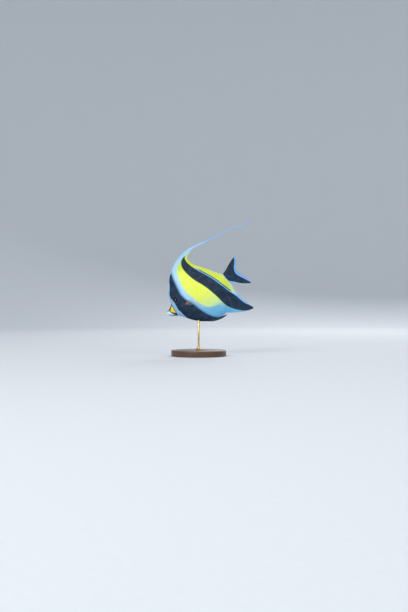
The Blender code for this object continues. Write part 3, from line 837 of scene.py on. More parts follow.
def build_markings():
    """The species' bands, face and fins in the fish's own frame, with some painted shade and sheen, for
    skin, scales and fin rays.
    """
    inputs = (("Wander", "Float", 0.5), ("Mottle", "Float", 0.08))
    tree, given, result = new_group("idol markings", "ShaderNodeTree", inputs, (("Colour", "Color"),))
    fish_frame = {"Vector": here(tree), "Location": in_scene(0.0, 0.0, 0.0), "Rotation": (0, -NOSE_DOWN, 0),
                  "Scale": (MM, MM, MM)}
    fish = out(tree, "ShaderNodeMapping", fish_frame, vector_type="TEXTURE")
    true_x, _, z = split(fish)
    x = true_x + (noise(fish, 0.55, 3.0) - 0.5) * given["Wander"]
    height = out(tree, "ShaderNodeMapRange", {"Value": z, "From Min": CURVE_LOW, "From Max": CURVE_HIGH})
    edges = {label: edge_curve(height, edge) for label, edge in EDGES.items()}

    # Pale ground, with painted shade that makes it bluer and darker low down on the belly, then the yellow
    # that fades towards the belly.
    pale = paint(PALE_IN_SHADE, WHITE, ramp(z, -52.0, 10.0))
    pale = paint(pale, STRIPE, 1 - ramp(x, 27.0, 34.0))
    pale = paint(PALE_IN_DEEP_SHADE, pale, largest(ramp(z, -68.0, -48.0), ramp(x, 108.0, 124.0)))
    yellow = paint(YELLOW_LOW, YELLOW, ramp(z, -30.0, -2.0))
    yellow = paint(yellow, YELLOW_TOP, ramp(z, 44.0, 74.0))
    yellow = paint(pale, yellow, ramp(z, -54.0, -28.0))
    gap = (x - edges["yellow front"]) * ramp(z, -45.0, -10.0, 0.45, 1.0)
    colour = paint(pale, yellow, ramp(gap, -2.0, 4.0))
    # The black is mottled with a lighter blue in random patches, a painted sheen.
    black = paint(BAND, BAND_SHEEN, ramp(noise(fish, 0.11, 4.0), 0.35, 0.75))

    # Second band, with a thin pale line behind it, then a thinner dark one on the body, then the
    # yellow of the rear, which is pale low on the anal fin and has a pale rear rim on both fins.
    colour = paint(colour, black, behind(x, edges["band 2 front"], 1.6))
    rear = paint(LINE, REAR_YELLOW, ramp(z, -48.0, -30.0))
    rear = paint(rear, REAR_YELLOW_TOP, ramp(z, 46.0, 60.0))
    thin = paint(LINE, rear, ramp(z, 43.0, 52.0))
    colour = paint(colour, thin, behind(x, edges["band 2 rear"], 0.9))
    seam = ramp(z, -34.0, -27.0) * (1 - ramp(z, 38.0, 46.0))
    gap = x - edges["band 2 rear"]
    colour = paint(colour, BAND, ramp(gap, 1.8, 2.6) * seam)
    colour = paint(colour, rear, ramp(gap - seam * 2.2, 1.4, 2.2))
    low_fin = 1 - ramp(z, -16.0, -12.0)
    high_fin = ramp(z, 7.0, 11.0) * ramp(z, 24.0, 34.0, 0.6, 0.0)
    fringe = ramp(x - edges["fins rear"], -2.6, -1.2) * (low_fin + high_fin)
    colour = paint(colour, paint(LINE, WHITE, ramp(z, -48.0, -34.0)), fringe)

    # The dorsal fin's leading edge and the filament are pale.
    lead = (1 - behind(x, edges["yellow front"], 1.6)) * ramp(z, *LEAD_FROM)
    streamer = behind(x, STREAMER_FROM, 5.0) * ramp(z, 58.0, 62.0)
    lead_tone = paint(pale, STREAMER, ramp(x, 66.0, 92.0))
    lead_tone = paint(lead_tone, STREAMER_END, ramp(x, 124.0, 156.0))
    colour = paint(colour, lead_tone, largest(lead, streamer))

    # Tail fin: black, with a pale line at its base and along its lower edge, and a pale rear rim.
    low_enough = 1 - ramp(z, *TAIL_TOP)
    gap = x - edges["tail front"] + ramp(z, -15.0, -9.0, 3.5, 0.5)
    margin = paint(LINE, TAIL_MARGIN, behind(x, edges["tail rear"], 2.4, 3.0))
    colour = paint(colour, margin, ramp(gap, -0.4, 0.4) * low_enough)
    tail_black = behind(x, edges["tail front"], 0.8, 0.8) * low_enough
    colour = paint(colour, black, tail_black * (1 - behind(x, edges["tail rear"], 0.9)))

    # First band, with a blue glow behind it.
    front = behind(x, edges["band 1 front"], 1.2)
    colour = paint(colour, DEEP_SKY, front * (1 - behind(x, edges["band 1 rear"], 7.0, 2.2)))
    colour = paint(colour, black, front * (1 - behind(x, edges["band 1 rear"], 3.2, -0.4)))

    # Face: a black chin and nose round the white snout, and the orange saddle outlined in black.
    on_snout = 1 - behind(x, SNOUT_END, 0.8)
    colour = paint(colour, SNOUT, on_snout)
    chin = 1 - ramp(z + x * 0.67, -5.0, -4.2)
    bridge = ramp(z - x * 0.1, -1.8, -1.0) * behind(x, 2.5, 2.5)
    outline = behind(x, edges["face front"], 0.7)
    saddle = behind(x, edges["saddle front"], 0.6) * (1 - behind(x, SADDLE_END, 0.6))
    saddle = saddle * behind(z, SADDLE_LOW, 0.8)
    colour = paint(colour, black, on_snout * largest(chin, bridge, outline))
    colour = paint(colour, SADDLE, saddle)
    # The nostrils' pits are painted dark in the middle, as painted shade of their openings.
    for at_x, at_z, radius in NOSTRILS:
        gap = length_of(true_x - at_x, z - at_z)
        colour = paint(BAND, colour, ramp(gap, radius * 0.6, radius * 1.1))
    spot = length_of((x - PECTORAL_BASE[0]) / SPOT_RADII[0], (z - PECTORAL_BASE[1]) / SPOT_RADII[1])
    colour = paint(colour, SPOT, 1 - ramp(spot, 0.7, 1.25))

    # Uneven pigment.
    mottle = (noise(fish, 0.9, 5.0) - 0.5) * given["Mottle"]
    lit(colour, mottle + 1.0).to(result.inputs["Colour"])
    return tree


markings = build_markings()


def build_grain():
    """Fine, uneven grain for any surface: its height, and the roughness that goes with it."""
    inputs = (("Stretch", "Vector", (1.0, 1.0, 1.0)), ("Fineness", "Float", 100.0), ("Smooth", "Float", 0.3),
              ("Rough", "Float", 0.5))
    outputs = (("Height", "Float"), ("Roughness", "Float"))
    tree, given, result = new_group("surface grain", "ShaderNodeTree", inputs, outputs)
    place = out(tree, "ShaderNodeVectorMath", {0: here(tree), 1: given["Stretch"]}, operation="MULTIPLY")
    height = noise(place, given["Fineness"], 3.0)
    height.to(result.inputs["Height"])
    ramp(height, 0.3, 0.7, given["Smooth"], given["Rough"]).to(result.inputs["Roughness"])
    return tree


surface_grain = build_grain()


def grain_of(tree, fineness, smooth=0.3, rough=0.5, stretch=(1.0, 1.0, 1.0)):
    """A surface's grain, as (height, roughness)."""
    given = {"Stretch": stretch, "Fineness": fineness, "Smooth": smooth, "Rough": rough}
    return outs(tree, "ShaderNodeGroup", given, node_tree=surface_grain)


def new_look(name, **set_values):
    """A new material, its nodes and its shader's inputs, some of them set to plain values."""
    look = bpy.data.materials.new(name)
    look.use_nodes = True
    shader = look.node_tree.nodes["Principled BSDF"].inputs
    for label, value in set_values.items():
        shader[label.replace("_", " ")].default_value = value
    return look, look.node_tree, shader


def dress(shader, colour, grain, depth):
    """Gives a shader its colour, and the roughness and relief of a grain this deep in mm."""
    height, roughness = grain
    colour.to(shader["Base Color"])
    roughness.to(shader["Roughness"])
    bump = out(colour.tree, "ShaderNodeBump", {"Height": height, "Strength": 0.5, "Distance": depth * MM})
    bump.to(shader["Normal"])


def carried(tree, name):
    """A number that the mesh carries at each point."""
    return out(tree, "ShaderNodeAttribute", output="Fac", attribute_name=name)


def fish_look(name, painted_brightness, mottle, gloss, grain_depth, tone_share):
    """Skin, scales or rays: the markings made darker or lighter by a painted brightness, with a gloss and a
    fine grain.

    tone_share says how far the tone that each scale carries changes the brightness.
    """
    look, tree, shader = new_look(name, Coat_Weight=0.06, Coat_Roughness=0.25, Specular_IOR_Level=0.3)
    colour = out(tree, "ShaderNodeGroup", {"Mottle": mottle}, "Colour", node_tree=markings)
    tone = lit(colour, carried(tree, "tone") * tone_share + painted_brightness)
    dress(shader, tone, grain_of(tree, 2600.0, gloss - 0.06, gloss + 0.08), grain_depth)
    return look


# The hide is painted 4% darker, as painted shade, to match the shade the scales cast on each other.
skin_look = fish_look("idol hide", 0.96, 0.1, 0.42, 0.03, 0.0)
skin = piece_of(skin_mesh, skin_look)
settle(skin, "skin", "upper_jaw", "lower_jaw", "head", "trunk", "tail_base", "dorsal_fin",
       "filament_root", "filament_middle", "filament_tip", "anal_fin", "caudal_fin")

# Scales. The real ones are small, thin, rough plates of bone rooted in the hide, which overlap
# towards the tail and get smaller on the face and on the sleeves of the fins. Each is a low
# seven-sided plate, laid on the skin by a lattice on its unwrap.
SCALE_SIDES = 7
SCALE_THICK = 0.065
SCALE_TILT = math.radians(7.5)
HEAD_PITCH = (0.47, 0.42)
TRUNK_PITCH = (0.72, 0.64)
BAKE_PATCH = 0.0015
REAR_FROM = 0.21
VECTOR = "FLOAT_VECTOR"


def keep(geometry, name, value, kind="FLOAT", domain="POINT"):
    """The geometry, with a value stored on it under this name."""
    given = {"Geometry": geometry, "Name": name, "Value": value}
    return out(geometry.tree, "GeometryNodeStoreNamedAttribute", given, data_type=kind, domain=domain)


def stored(tree, name, kind="FLOAT"):
    return out(tree, "GeometryNodeInputNamedAttribute", {"Name": name}, data_type=kind)


def moved(geometry, **given):
    return out(geometry.tree, "GeometryNodeSetPosition", {"Geometry": geometry, **given})


def build_scale_tree():
    """Lays scales on the skin it is given, where the mask named in the tree's input allows."""
    inputs = (
        ("Geometry", "Geometry", None),
        ("Along", "Float", 0.002),
        ("Across", "Float", 0.003),
        ("From", "Float", 0.0),
        ("To", "Float", 0.5),
        ("Length", "Float", 1.0),
        ("Width", "Float", 0.8),
        ("Thickness", "Float", SCALE_THICK),
        ("Tilt", "Float", SCALE_TILT),
        ("Mask", "String", "trunk coat"),
        ("Finish", "Material", None),
        ("Seed", "Int", 1),
    )
    tree, size, result = new_group("laid scales", "GeometryNodeTree", inputs, (("Geometry", "Geometry"),))

    def chance(low, high, draw):
        """A random number for each scale. Each draw has a seed of its own."""
        given = {2: low, 3: high, "Seed": size["Seed"] + draw}
        return out(tree, "FunctionNodeRandomValue", given, 1, data_type="FLOAT")

    # A staggered, slightly uneven lattice of roots, in the places of the skin's unwrap.
    count_x = ((size["To"] - size["From"]) / size["Along"]).maths("ROUND")
    lattice = out(tree, "GeometryNodeMeshGrid", {
        "Size X": (count_x - 1.0) * size["Along"], "Size Y": 1.0,
        "Vertices X": count_x, "Vertices Y": 1.0 / size["Across"]})
    lattice = moved(lattice, Offset=joined(tree, (size["To"] + size["From"]) * 0.5, 0.5))
    position = out(tree, "GeometryNodeInputPosition")
    row = (split(position)[1] / size["Across"]).maths("ROUND")
    stagger = row.maths("MODULO", 2.0) * (size["Along"] * 0.5)
    uneven = [chance(-0.13, 0.13, draw) * size[pitch] for draw, pitch in ((0.0, "Along"), (1.0, "Across"))]
    lattice = moved(lattice, Offset=joined(tree, stagger + uneven[0], uneven[1]))
    roots = keep(lattice, "root", position, VECTOR)
    root = stored(tree, "root", VECTOR)
    unwrap = stored(tree, "OFBake", VECTOR)

    def from_skin(value, kind):
        """The skin's value at each root's place on the unwrap, and whether there is skin there."""
        given = {"Mesh": size["Geometry"], "Value": value, "UV Map": unwrap, "Sample UV": root}
        return outs(tree, "GeometryNodeSampleUVSurface", given, data_type=kind)

    on_skin, found = from_skin(position, VECTOR)
    normal, _ = from_skin(out(tree, "GeometryNodeInputNormal"), VECTOR)
    lie, _ = from_skin(stored(tree, "lie", VECTOR), VECTOR)
    coat, _ = from_skin(stored(tree, size["Mask"]), "FLOAT")
    grain, _ = from_skin(stored(tree, "grain"), "FLOAT")
    # A fin's sleeve thins out by chance, and its scales shrink towards its end.
    grain = grain * ramp(coat, 0.0, 1.0, 0.45, 1.0)
    thin = out(tree, "FunctionNodeCompare", {0: coat, 1: chance(0.12, 0.88, 5.0)}, data_type="FLOAT",
               operation="LESS_THAN")
    missing = out(tree, "FunctionNodeBooleanMath", {0: found}, operation="NOT")
    drop = out(tree, "FunctionNodeBooleanMath", {0: thin, 1: missing}, operation="OR")
    points = out(tree, "GeometryNodeMeshToPoints", {"Mesh": roots})
    placed = out(tree, "GeometryNodeDeleteGeometry", {"Geometry": points, "Selection": drop})
    # Everything read from the skin is kept before the points move onto it.
    placed = keep(placed, "normal", normal, VECTOR)
    placed = keep(placed, "lie", lie, VECTOR)
    placed = keep(placed, "grain", grain)
    placed = keep(placed, "tone", chance(-1.0, 1.0, 9.0))
    placed = moved(placed, Position=on_skin)

    # One scale, root at the front: a flat cone drawn out to its length and width. Its underside
    # is shaded flat, so that the rim of each plate stays crisp.
    cone = {"Vertices": SCALE_SIDES, "Radius Top": 0.0, "Radius Bottom": 1.0, "Depth": 1.0}
    plate, _, under, *_ = outs(tree, "GeometryNodeMeshCone", cone, fill_type="NGON")
    flat_under = {"Geometry": plate, "Selection": under, "Shade Smooth": False}
    plate = out(tree, "GeometryNodeSetShadeSmooth", flat_under)
    plate = keep(plate, "local", position, VECTOR)
    half_long = size["Length"] * (0.5 * MM)
    plate = out(tree, "GeometryNodeTransform", {
        "Geometry": plate, "Translation": joined(tree, half_long * 0.5),
        "Scale": joined(tree, half_long, size["Width"] * (0.5 * MM), size["Thickness"] * MM)})

    # Each faces away from the skin, leans back a little and turns a little out of line.
    facing = out(tree, "FunctionNodeAxesToRotation", {
        "Primary Axis": stored(tree, "normal", VECTOR), "Secondary Axis": stored(tree, "lie", VECTOR)},
        primary_axis="Z", secondary_axis="X")
    lean = size["Tilt"] * chance(0.7, 1.4, 13.0) * -1.0
    yaw = chance(-0.12, 0.12, 17.0)
    leaning = out(tree, "FunctionNodeEulerToRotation", {0: joined(tree, 0.0, lean, yaw)})
    turn = out(tree, "FunctionNodeRotateRotation", {0: facing, 1: leaning}, rotation_space="LOCAL")
    growth = chance(0.86, 1.12, 21.0) * stored(tree, "grain")
    scales = out(tree, "GeometryNodeInstanceOnPoints", {
        "Points": placed, "Instance": plate, "Rotation": turn, "Scale": growth})
    scales = out(tree, "GeometryNodeRealizeInstances", {0: scales})
    # A scale's patch of the bake is its own shape, shrunk, at the place of its root.
    patch = {0: stored(tree, "local", VECTOR), 1: (BAKE_PATCH, BAKE_PATCH, 0.0), 2: root}
    patch = out(tree, "ShaderNodeVectorMath", patch, operation="MULTIPLY_ADD")
    scales = keep(scales, "OFBake", patch, "FLOAT2", "CORNER")
    for spare in ("local", "root", "normal", "lie", "grain"):
        scales = out(tree, "GeometryNodeRemoveAttribute", {"Geometry": scales, "Name": spare})
    scales = out(tree, "GeometryNodeSetMaterial", {"Geometry": scales, "Material": size["Finish"]})
    scales.to(result.inputs[0])
    return tree


def grown(name, source, tree, look, **sizes):
    """The piece that a tree makes of a source mesh, as a plain mesh at the origin."""
    made = bpy.data.objects.new(name, source)
    bpy.context.scene.collection.objects.link(made)
    grow = made.modifiers.new("grow", "NODES")
    grow.node_group = tree
    sizes["Finish"] = look
    for item in tree.interface.items_tree:
        if item.item_type == "SOCKET" and item.in_out == "INPUT" and item.name in sizes:
            grow[item.identifier] = sizes[item.name]
    graph = bpy.context.evaluated_depsgraph_get()
    grown_mesh = made.evaluated_get(graph)
    plain = bpy.data.meshes.new_from_object(grown_mesh, preserve_all_data_layers=True, depsgraph=graph)
    made.modifiers.remove(grow)
    made.data = plain
    plain.name = name
    return made


scale_tree = build_scale_tree()
scale_look = fish_look("idol scales", 1.0, 0.08, 0.45, 0.01, 0.08)
for side_name, begin, seed in (("left", 0.0, 3), ("right", 0.5, 71)):
    for region, mask, first, last, pitch, long, wide in (
        ("head", "head coat", 0.0, 0.5, HEAD_PITCH, 0.94, 0.74),
        ("flank", "trunk coat", 0.0, REAR_FROM, TRUNK_PITCH, 1.3, 0.97),
        ("rear", "trunk coat", REAR_FROM, 0.5, TRUNK_PITCH, 1.3, 0.97),
    ):
        scales = grown(
            f"{region}_scales_{side_name}", skin.data, scale_tree, scale_look,
            Along=pitch[0] * per_mm[0], Across=pitch[1] * per_mm[1], From=begin + first, To=begin + last,
            Length=long, Width=wide, Mask=mask, Seed=seed)
        settle(scales, "skin")

# Fin rays. The real ones are slender rods of bone, stiff spines in front and branched, jointed
# rays behind, that stand a little out of both faces of the thin membrane they carry. Each is a
# tapered rod along its own line of the fin, half sunk in the skin.
RAY_SIDES = 6
RAY_SUNK = 0.05
RAY_THICK = 0.24
DORSAL_SPINES = ((11.3, 0.44), (11.52, 0.38), (11.74, 0.34), (11.97, 0.3))
DORSAL_RAYS = np.linspace(12.2, 19.75, 46)
DORSAL_FORK = 0.04
ANAL_SPINES = ((16.12, 0.4), (16.24, 0.32))
ANAL_RAYS = np.linspace(16.38, 19.7, 34)
ANAL_FORK = 0.024
TAIL_SPINES = ((0.006, 0.42), (0.022, 0.3), (0.978, 0.3), (0.994, 0.42))
TAIL_RAYS = np.linspace(0.045, 0.955, 15)
TAIL_FORKS = (0.012, 0.0065)
TAIL_THICK = 0.3


def build_rod_tree():
    """Makes a tapered rod along every line of the mesh it is given, each in its lane of the bake."""
    inputs = (("Geometry", "Geometry", None), ("Sides", "Int", RAY_SIDES), ("Lanes", "Float", 1.0),
              ("Finish", "Material", None))
    tree, size, result = new_group("tapered rods", "GeometryNodeTree", inputs, (("Geometry", "Geometry"),))
    lines = out(tree, "GeometryNodeMeshToCurve", {"Mesh": size["Geometry"]})
    ring = out(tree, "GeometryNodeCurvePrimitiveCircle", {"Resolution": size["Sides"], "Radius": 1.0})
    ring = keep(ring, "around", out(tree, "GeometryNodeSplineParameter", output="Factor"))
    rods = out(tree, "GeometryNodeCurveToMesh", {
        "Curve": lines, "Profile Curve": ring, "Scale": stored(tree, "thick"), "Fill Caps": True})
    lane = stored(tree, "lane") + stored(tree, "around") * 0.8
    patch = joined(tree, stored(tree, "reach") * 0.96 + 0.02, (lane + 0.1) / size["Lanes"])
    rods = keep(rods, "OFBake", patch, "FLOAT2", "CORNER")
    rods = out(tree, "GeometryNodeSetShadeSmooth", {"Geometry": rods, "Shade Smooth": True})
    rods = out(tree, "GeometryNodeRealizeInstances", {0: rods})
    rods = out(tree, "GeometryNodeSetMaterial", {"Geometry": rods, "Material": size["Finish"]})
    rods.to(result.inputs[0])
    return tree


rod_tree = build_rod_tree()


def rods_along(name, lines, look, sides=RAY_SIDES):
    """One piece of tapered rods, from lines given as (points, thicknesses in mm, reach, lane)."""
    guide = bpy.data.meshes.new(name + " lines")
    counts = [len(line[0]) for line in lines]
    starts = np.concatenate(([0], np.cumsum(counts)[:-1]))
    edges = [(start + i, start + i + 1) for start, count in zip(starts, counts) for i in range(count - 1)]
    guide.from_pydata(np.concatenate([line[0] for line in lines]), edges, [])
    numbers = {
        "thick": [line[1] * MM for line in lines],
        "reach": [line[2] for line in lines],
        "lane": [np.full(len(line[0]), float(line[3])) for line in lines],
    }
    for label, values in numbers.items():
        guide.attributes.new(label, "FLOAT", "POINT").data.foreach_set("value", np.concatenate(values))
    return grown(name, guide, rod_tree, look, Sides=sides, Lanes=float(lines[-1][3] + 1))


def branched(place, middle, forks, spans, thick, lanes_used):
    """The lines of one ray and its branches on both faces. place(s, along, face) gives points."""
    lines = []
    branches = [(0.0, 0.0)]
    for level, (begin, end) in enumerate(zip(spans, spans[1:])):
        if level:
            branches = [(o, o + way * forks[level - 1]) for _, o in branches for way in (-1, 1)]
        along = np.linspace(max(begin - 0.02, spans[0]), end, 9 if level else 12)
        rooted = 0.1 + 0.9 * smooth_step((along - spans[0]) / 0.16)
        taper = thick * rooted * (1 - 0.68 * along) * 0.82**level
        for parent, offset in branches:
            track = parent + (offset - parent) * smooth_step((along - begin) / (end - begin))
            for face in (-1, 1):
                lines.append((place(middle + track, along, face), taper, along, lanes_used + len(lines)))
    return lines


def fin_face(point, thickness):
    """A function that gives the points of a fin's face along a ray."""
    def place(s, along, face):
        at = point(s, along)
        half = np.maximum(thickness(s, along) - RAY_SUNK, RAY_SUNK)
        return in_scene(at[..., 0], face * half, at[..., 1])
    return place


# The rays are painted 7% lighter, as a painted highlight.
ray_look = fish_look("fin rays", 1.07, 0.08, 0.36, 0.01, 0.0)
for name, point, thickness, spines, rays, fork in (
    ("dorsal_rays", dorsal_point, dorsal_half, DORSAL_SPINES, DORSAL_RAYS, DORSAL_FORK),
    ("anal_rays", anal_point, anal_half, ANAL_SPINES, ANAL_RAYS, ANAL_FORK),
):
    face_of = fin_face(point, thickness)
    lines = []
    along = np.linspace(0.03, 0.96, 22)
    pointed = 0.1 + 0.9 * rounded(np.minimum(along - along[0], along[-1] - along), 0.16)
    for s, thick in spines:
        for face in (-1, 1):
            at = face_of(np.full(len(along), s), along, face)
            lines.append((at, thick * pointed * (1 - 0.6 * along), along, len(lines)))
    for s in rays:
        lines += branched(face_of, s, (fork,), (0.1, 0.55, 0.975), RAY_THICK, len(lines))
    settle(rods_along(name, lines, ray_look), "skin")

face_of = fin_face(tail_point, tail_half)
lines = []
along = np.linspace(0.0, 0.985, 22)
for share, thick in TAIL_SPINES:
    for face in (-1, 1):
        at = face_of(np.full(len(along), share), along, face)
        lines.append((at, thick * (1 - 0.6 * along), along, len(lines)))
for share in TAIL_RAYS:
    lines += branched(face_of, share, TAIL_FORKS, (0.0, 0.36, 0.66, 0.985), TAIL_THICK, len(lines))
settle(rods_along("tail_rays", lines, ray_look), "skin")

# Eyes. The real one is a round, dark ball with a thin gold ring about a wide pupil, under a clear
# bulging cornea. A model's is a cast ball with a painted iris, set in the socket, with a clear
# lens of resin over it.
PUPIL_RADIUS = 2.0
EYE_SIDES = 64


def turned(name, profile, sides, centre=(0.0, 0.0, 0.0), facing=(0.0, 0.0, 1.0)):
    """A closed mesh turned from (radius, height) points in mm about an axis that faces this way.

    Its map named turn says how far round (u) and how far along the profile (v) a place is.
    """
    profile = np.array(profile, float)
    walk = run_along(profile)
    around, along = np.meshgrid(np.arange(sides + 1) / sides, walk / walk[-1])
    up = np.array(facing) / np.linalg.norm(facing)
    first = np.cross(up, (1.0, 0.0, 1.0))
    first /= np.linalg.norm(first)
    angle = 2 * np.pi * around[..., None]
    spokes = np.cos(angle) * first + np.sin(angle) * np.cross(up, first)
    grid = profile[:, None, :1] * spokes + profile[:, None, 1:] * up
    mesh = welded(name, [grid * MM + np.array(centre)], {"turn": [paired(around, along)]})
    mesh.set_sharp_from_angle(angle=math.radians(50))
    return mesh


def eye_arc(first, last, steps):
    """Points of the eyeball's outline between two angles, in degrees from the eye's axis."""
    angles = np.radians(np.linspace(first, last, steps))
    return [(EYE_RADIUS * math.sin(a), EYE_DEPTH * math.cos(a)) for a in angles]


ball = [(radius, -height) for radius, height in eye_arc(0, 106, 22)]
iris_face = [(4.34, 1.3), (4.1, 1.34), (3.4, 1.2), (2.7, 1.08), (PUPIL_RADIUS, 1.0)]
pupil = [(PUPIL_RADIUS - 0.12, 0.86), (PUPIL_RADIUS - 0.2, 0.5), (1.0, 0.42), (0.0, 0.4)]
outline = np.array(ball + iris_face + pupil)
walked = run_along(outline) / run_along(outline)[-1]
IRIS_RIM = walked[len(ball)]
IRIS_EDGE = walked[len(ball) + len(iris_face) - 1]
IRIS_GOLD = IRIS_EDGE - 0.013
# The lens is cast onto the iris, so its back lies within the ball.
lens_back = [(4.1, 1.1), (3.4, 0.95), (2.7, 0.8), (PUPIL_RADIUS, 0.6), (1.0, 0.2), (0.0, 0.15)]

eye_look, tree, shader = new_look("painted eye", Specular_IOR_Level=0.03)
turn, walk, _ = split(out(tree, "ShaderNodeUVMap", uv_map="turn"))
angle = turn * (2 * math.pi)
streaks = noise(joined(tree, angle.maths("COSINE"), angle.maths("SINE"), walk * 0.8), 9.0, 4.0)
iris = paint(shade(10, 9, 12), shade(44, 28, 20), ramp(streaks, 0.42, 0.68))
uneven = walk + (streaks - 0.5) * 0.014
iris = paint(iris, shade(92, 60, 30), ramp(uneven, IRIS_GOLD - 0.05, IRIS_GOLD))
iris = paint(iris, shade(226, 172, 66), ramp(uneven, IRIS_GOLD - 0.004, IRIS_GOLD + 0.002))
pupil_part = ramp(walk, IRIS_EDGE - 0.004, IRIS_EDGE + 0.004)
iris = paint(iris, shade(1, 1, 2), pupil_part)
iris = paint(shade(16, 20, 28), iris, ramp(walk, IRIS_RIM, IRIS_RIM + 0.03))
iris.to(shader["Base Color"])
ramp(streaks, 0.3, 0.7, 0.5, 0.7).to(shader["Roughness"])
bump = {"Height": streaks * (1 - pupil_part), "Strength": 0.4, "Distance": 0.0001}
out(tree, "ShaderNodeBump", bump).to(shader["Normal"])

cornea_look, tree, shader = new_look(
    "clear cornea", Base_Color=(0.97, 0.98, 1.0, 1.0), Transmission_Weight=1.0, IOR=1.18)
grain_of(tree, 900.0, 0.01, 0.04)[1].to(shader["Roughness"])

SIDES = (("left", -1), ("right", 1))
for side_name, sign in SIDES:
    low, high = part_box(f"eye_{side_name}")
    centre = (np.array(low) + np.array(high)) / 2
    outward = in_scene(-EYE_SLOPE[0], sign, -EYE_SLOPE[1]) - in_scene(0.0, 0.0, 0.0)
    eyeball = turned(f"eyeball_{side_name}", outline, EYE_SIDES, centre, outward)
    settle(piece_of(eyeball, eye_look), "eye", f"eye_{side_name}")
    cornea = turned(f"cornea_{side_name}", eye_arc(0, 66, 20) + lens_back, EYE_SIDES, centre, outward)
    settle(piece_of(cornea, cornea_look), "eye")

# Horns. A grown fish has a small spur of bone on each brow, before the eye, bare at the tip and
# rooted under the hide. Each is one curved, tapered rod.
HORN_AT = (25.4, 19.2)
HORN_WAY = (-0.5, 0.8, 0.3)
HORN_LENGTH = 4.0
HORN_ROOT = 1.08
HORN_SUNK = 0.9
HORN_SIDES = 14


def half_near(x, z):
    """Half the body's thickness at a point of its side, before the scales' depth is taken off."""
    near = np.unravel_index(np.argmin(np.hypot(side[..., 0] - x, side[..., 1] - z)), side.shape[:2])
    return float(body_half(s_grid[near], share_grid[near])) + COAT_DEPTH


bone_look, tree, shader = new_look("bare bone")
fibres = grain_of(tree, 1400.0, 0.3, 0.5)
bone = paint(shade(150, 158, 160), shade(206, 208, 200), fibres[0])
rooted_in_hide = paint(shade(38, 52, 70), bone, ramp(carried(tree, "reach"), 0.3, 0.75))
dress(shader, rooted_in_hide, fibres, 0.06)

way = np.array(HORN_WAY) / np.linalg.norm(HORN_WAY)
u = np.linspace(-0.12, 1.0, 16)
reach = np.clip(u, 0, 1)
bend = 0.5 * u**2
foot = np.array((HORN_AT[0], half_near(*HORN_AT) - HORN_SUNK, HORN_AT[1]))
x, y, z = foot[:, None] + way[:, None] * HORN_LENGTH * u
thick = HORN_ROOT * (1 - reach) ** 0.8 + 0.1
for side_name, sign in SIDES:
    line = (in_scene(x, sign * (y - 0.25 * bend), z + bend), thick, reach, 0)
    horn = rods_along(f"brow_horn_{side_name}", [line], bone_look, HORN_SIDES)
    settle(horn, "horn", f"horn_{side_name}")

# Pectoral fins. The real ones are clear fans on a fleshy root behind the gills, which paddle all
# the time and hardly show. Each is a thin, slightly cupped membrane over eighteen fine rays.
PECTORAL_AT = (48.0, -6.5)
PECTORAL_TURN = math.radians(24.0)
PECTORAL_TIPS = (
    (27.0, 4.6), (26.6, 1.6), (24.6, -1.8), (21.6, -4.6), (18.0, -6.8), (13.6, -7.9), (9.0, -8.0))
PECTORAL_FILM = 0.07
PECTORAL_RAYS = 18
PECTORAL_RAY = 0.12


def pectoral_point(share, along, sign, proud=0.0):
    """Points of a pectoral fin, from its upper edge (share 0) to its lower one (share 1)."""
    share, along = np.broadcast_arrays(np.asarray(share, float), np.asarray(along, float))
    tip = through(np.linspace(0, 1, len(PECTORAL_TIPS)), PECTORAL_TIPS, share)
    root = paired(-1.6, 3.0 - 6.2 * share)
    bow = 3.4 * (1 - share) ** 2 - 1.0 * share**2
    middle = (root + tip) / 2 + paired(0.0, bow)
    a = along[..., None]
    at = (1 - a) ** 2 * root + 2 * a * (1 - a) * middle + a * a * tip
    cup = 0.9 * np.sin(np.pi * share) * along * (1 - 0.4 * along) - 0.45
    flank = half_near(*PECTORAL_AT) + 0.9 + cup + proud
    x = PECTORAL_AT[0] + at[..., 0] * math.cos(PECTORAL_TURN)
    y = flank + at[..., 0] * math.sin(PECTORAL_TURN)
    return in_scene(x, sign * y, PECTORAL_AT[1] + at[..., 1])


membrane_look, tree, shader = new_look("clear fin membrane")
cloud = grain_of(tree, 300.0, 0.25, 0.4)
dress(shader, paint(shade(190, 206, 190), shade(222, 232, 226), cloud[0]), cloud, 0.01)
ramp(cloud[0], 0.3, 0.7, 0.03, 0.09).to(shader["Alpha"])

pectoral_ray_look, tree, shader = new_look("clear fin rays")
cloud = grain_of(tree, 700.0, 0.3, 0.42)
reach = carried(tree, "reach")
tone = paint(SPOT, shade(206, 214, 190), ramp(reach, 0.06, 0.2))
dress(shader, paint(tone, shade(190, 200, 180), cloud[0]), cloud, 0.01)
ramp(reach, 0.04, 0.35, 0.34, 0.1).to(shader["Alpha"])

fan_share, fan_along = np.meshgrid(np.linspace(0, 1, 27), np.linspace(0, 1, 25))
ripple = 0.05 * np.cos(2 * np.pi * 13 * fan_share) * fan_along
film = PECTORAL_FILM * rounded(np.minimum.reduce((fan_share, 1 - fan_share, fan_along, 1 - fan_along)), 0.05)
ray_along = np.linspace(0.02, 0.985, 20)
for side_name, sign in SIDES:
    faces_of = [pectoral_point(fan_share, fan_along, sign, ripple + face * film) for face in (-1, 1)]
    fan = welded(f"pectoral_membrane_{side_name}", faces_of)
    settle(piece_of(fan, membrane_look), "fin_membrane", f"pectoral_fin_{side_name}")

    lines = []
    for lane, share in enumerate(np.linspace(0.01, 0.99, PECTORAL_RAYS)):
        at = pectoral_point(share, ray_along, sign, 0.03)
        lines.append((at, PECTORAL_RAY * (1 - 0.6 * ray_along), ray_along, lane))
    settle(rods_along(f"pectoral_rays_{side_name}", lines, pectoral_ray_look), "fin_membrane")

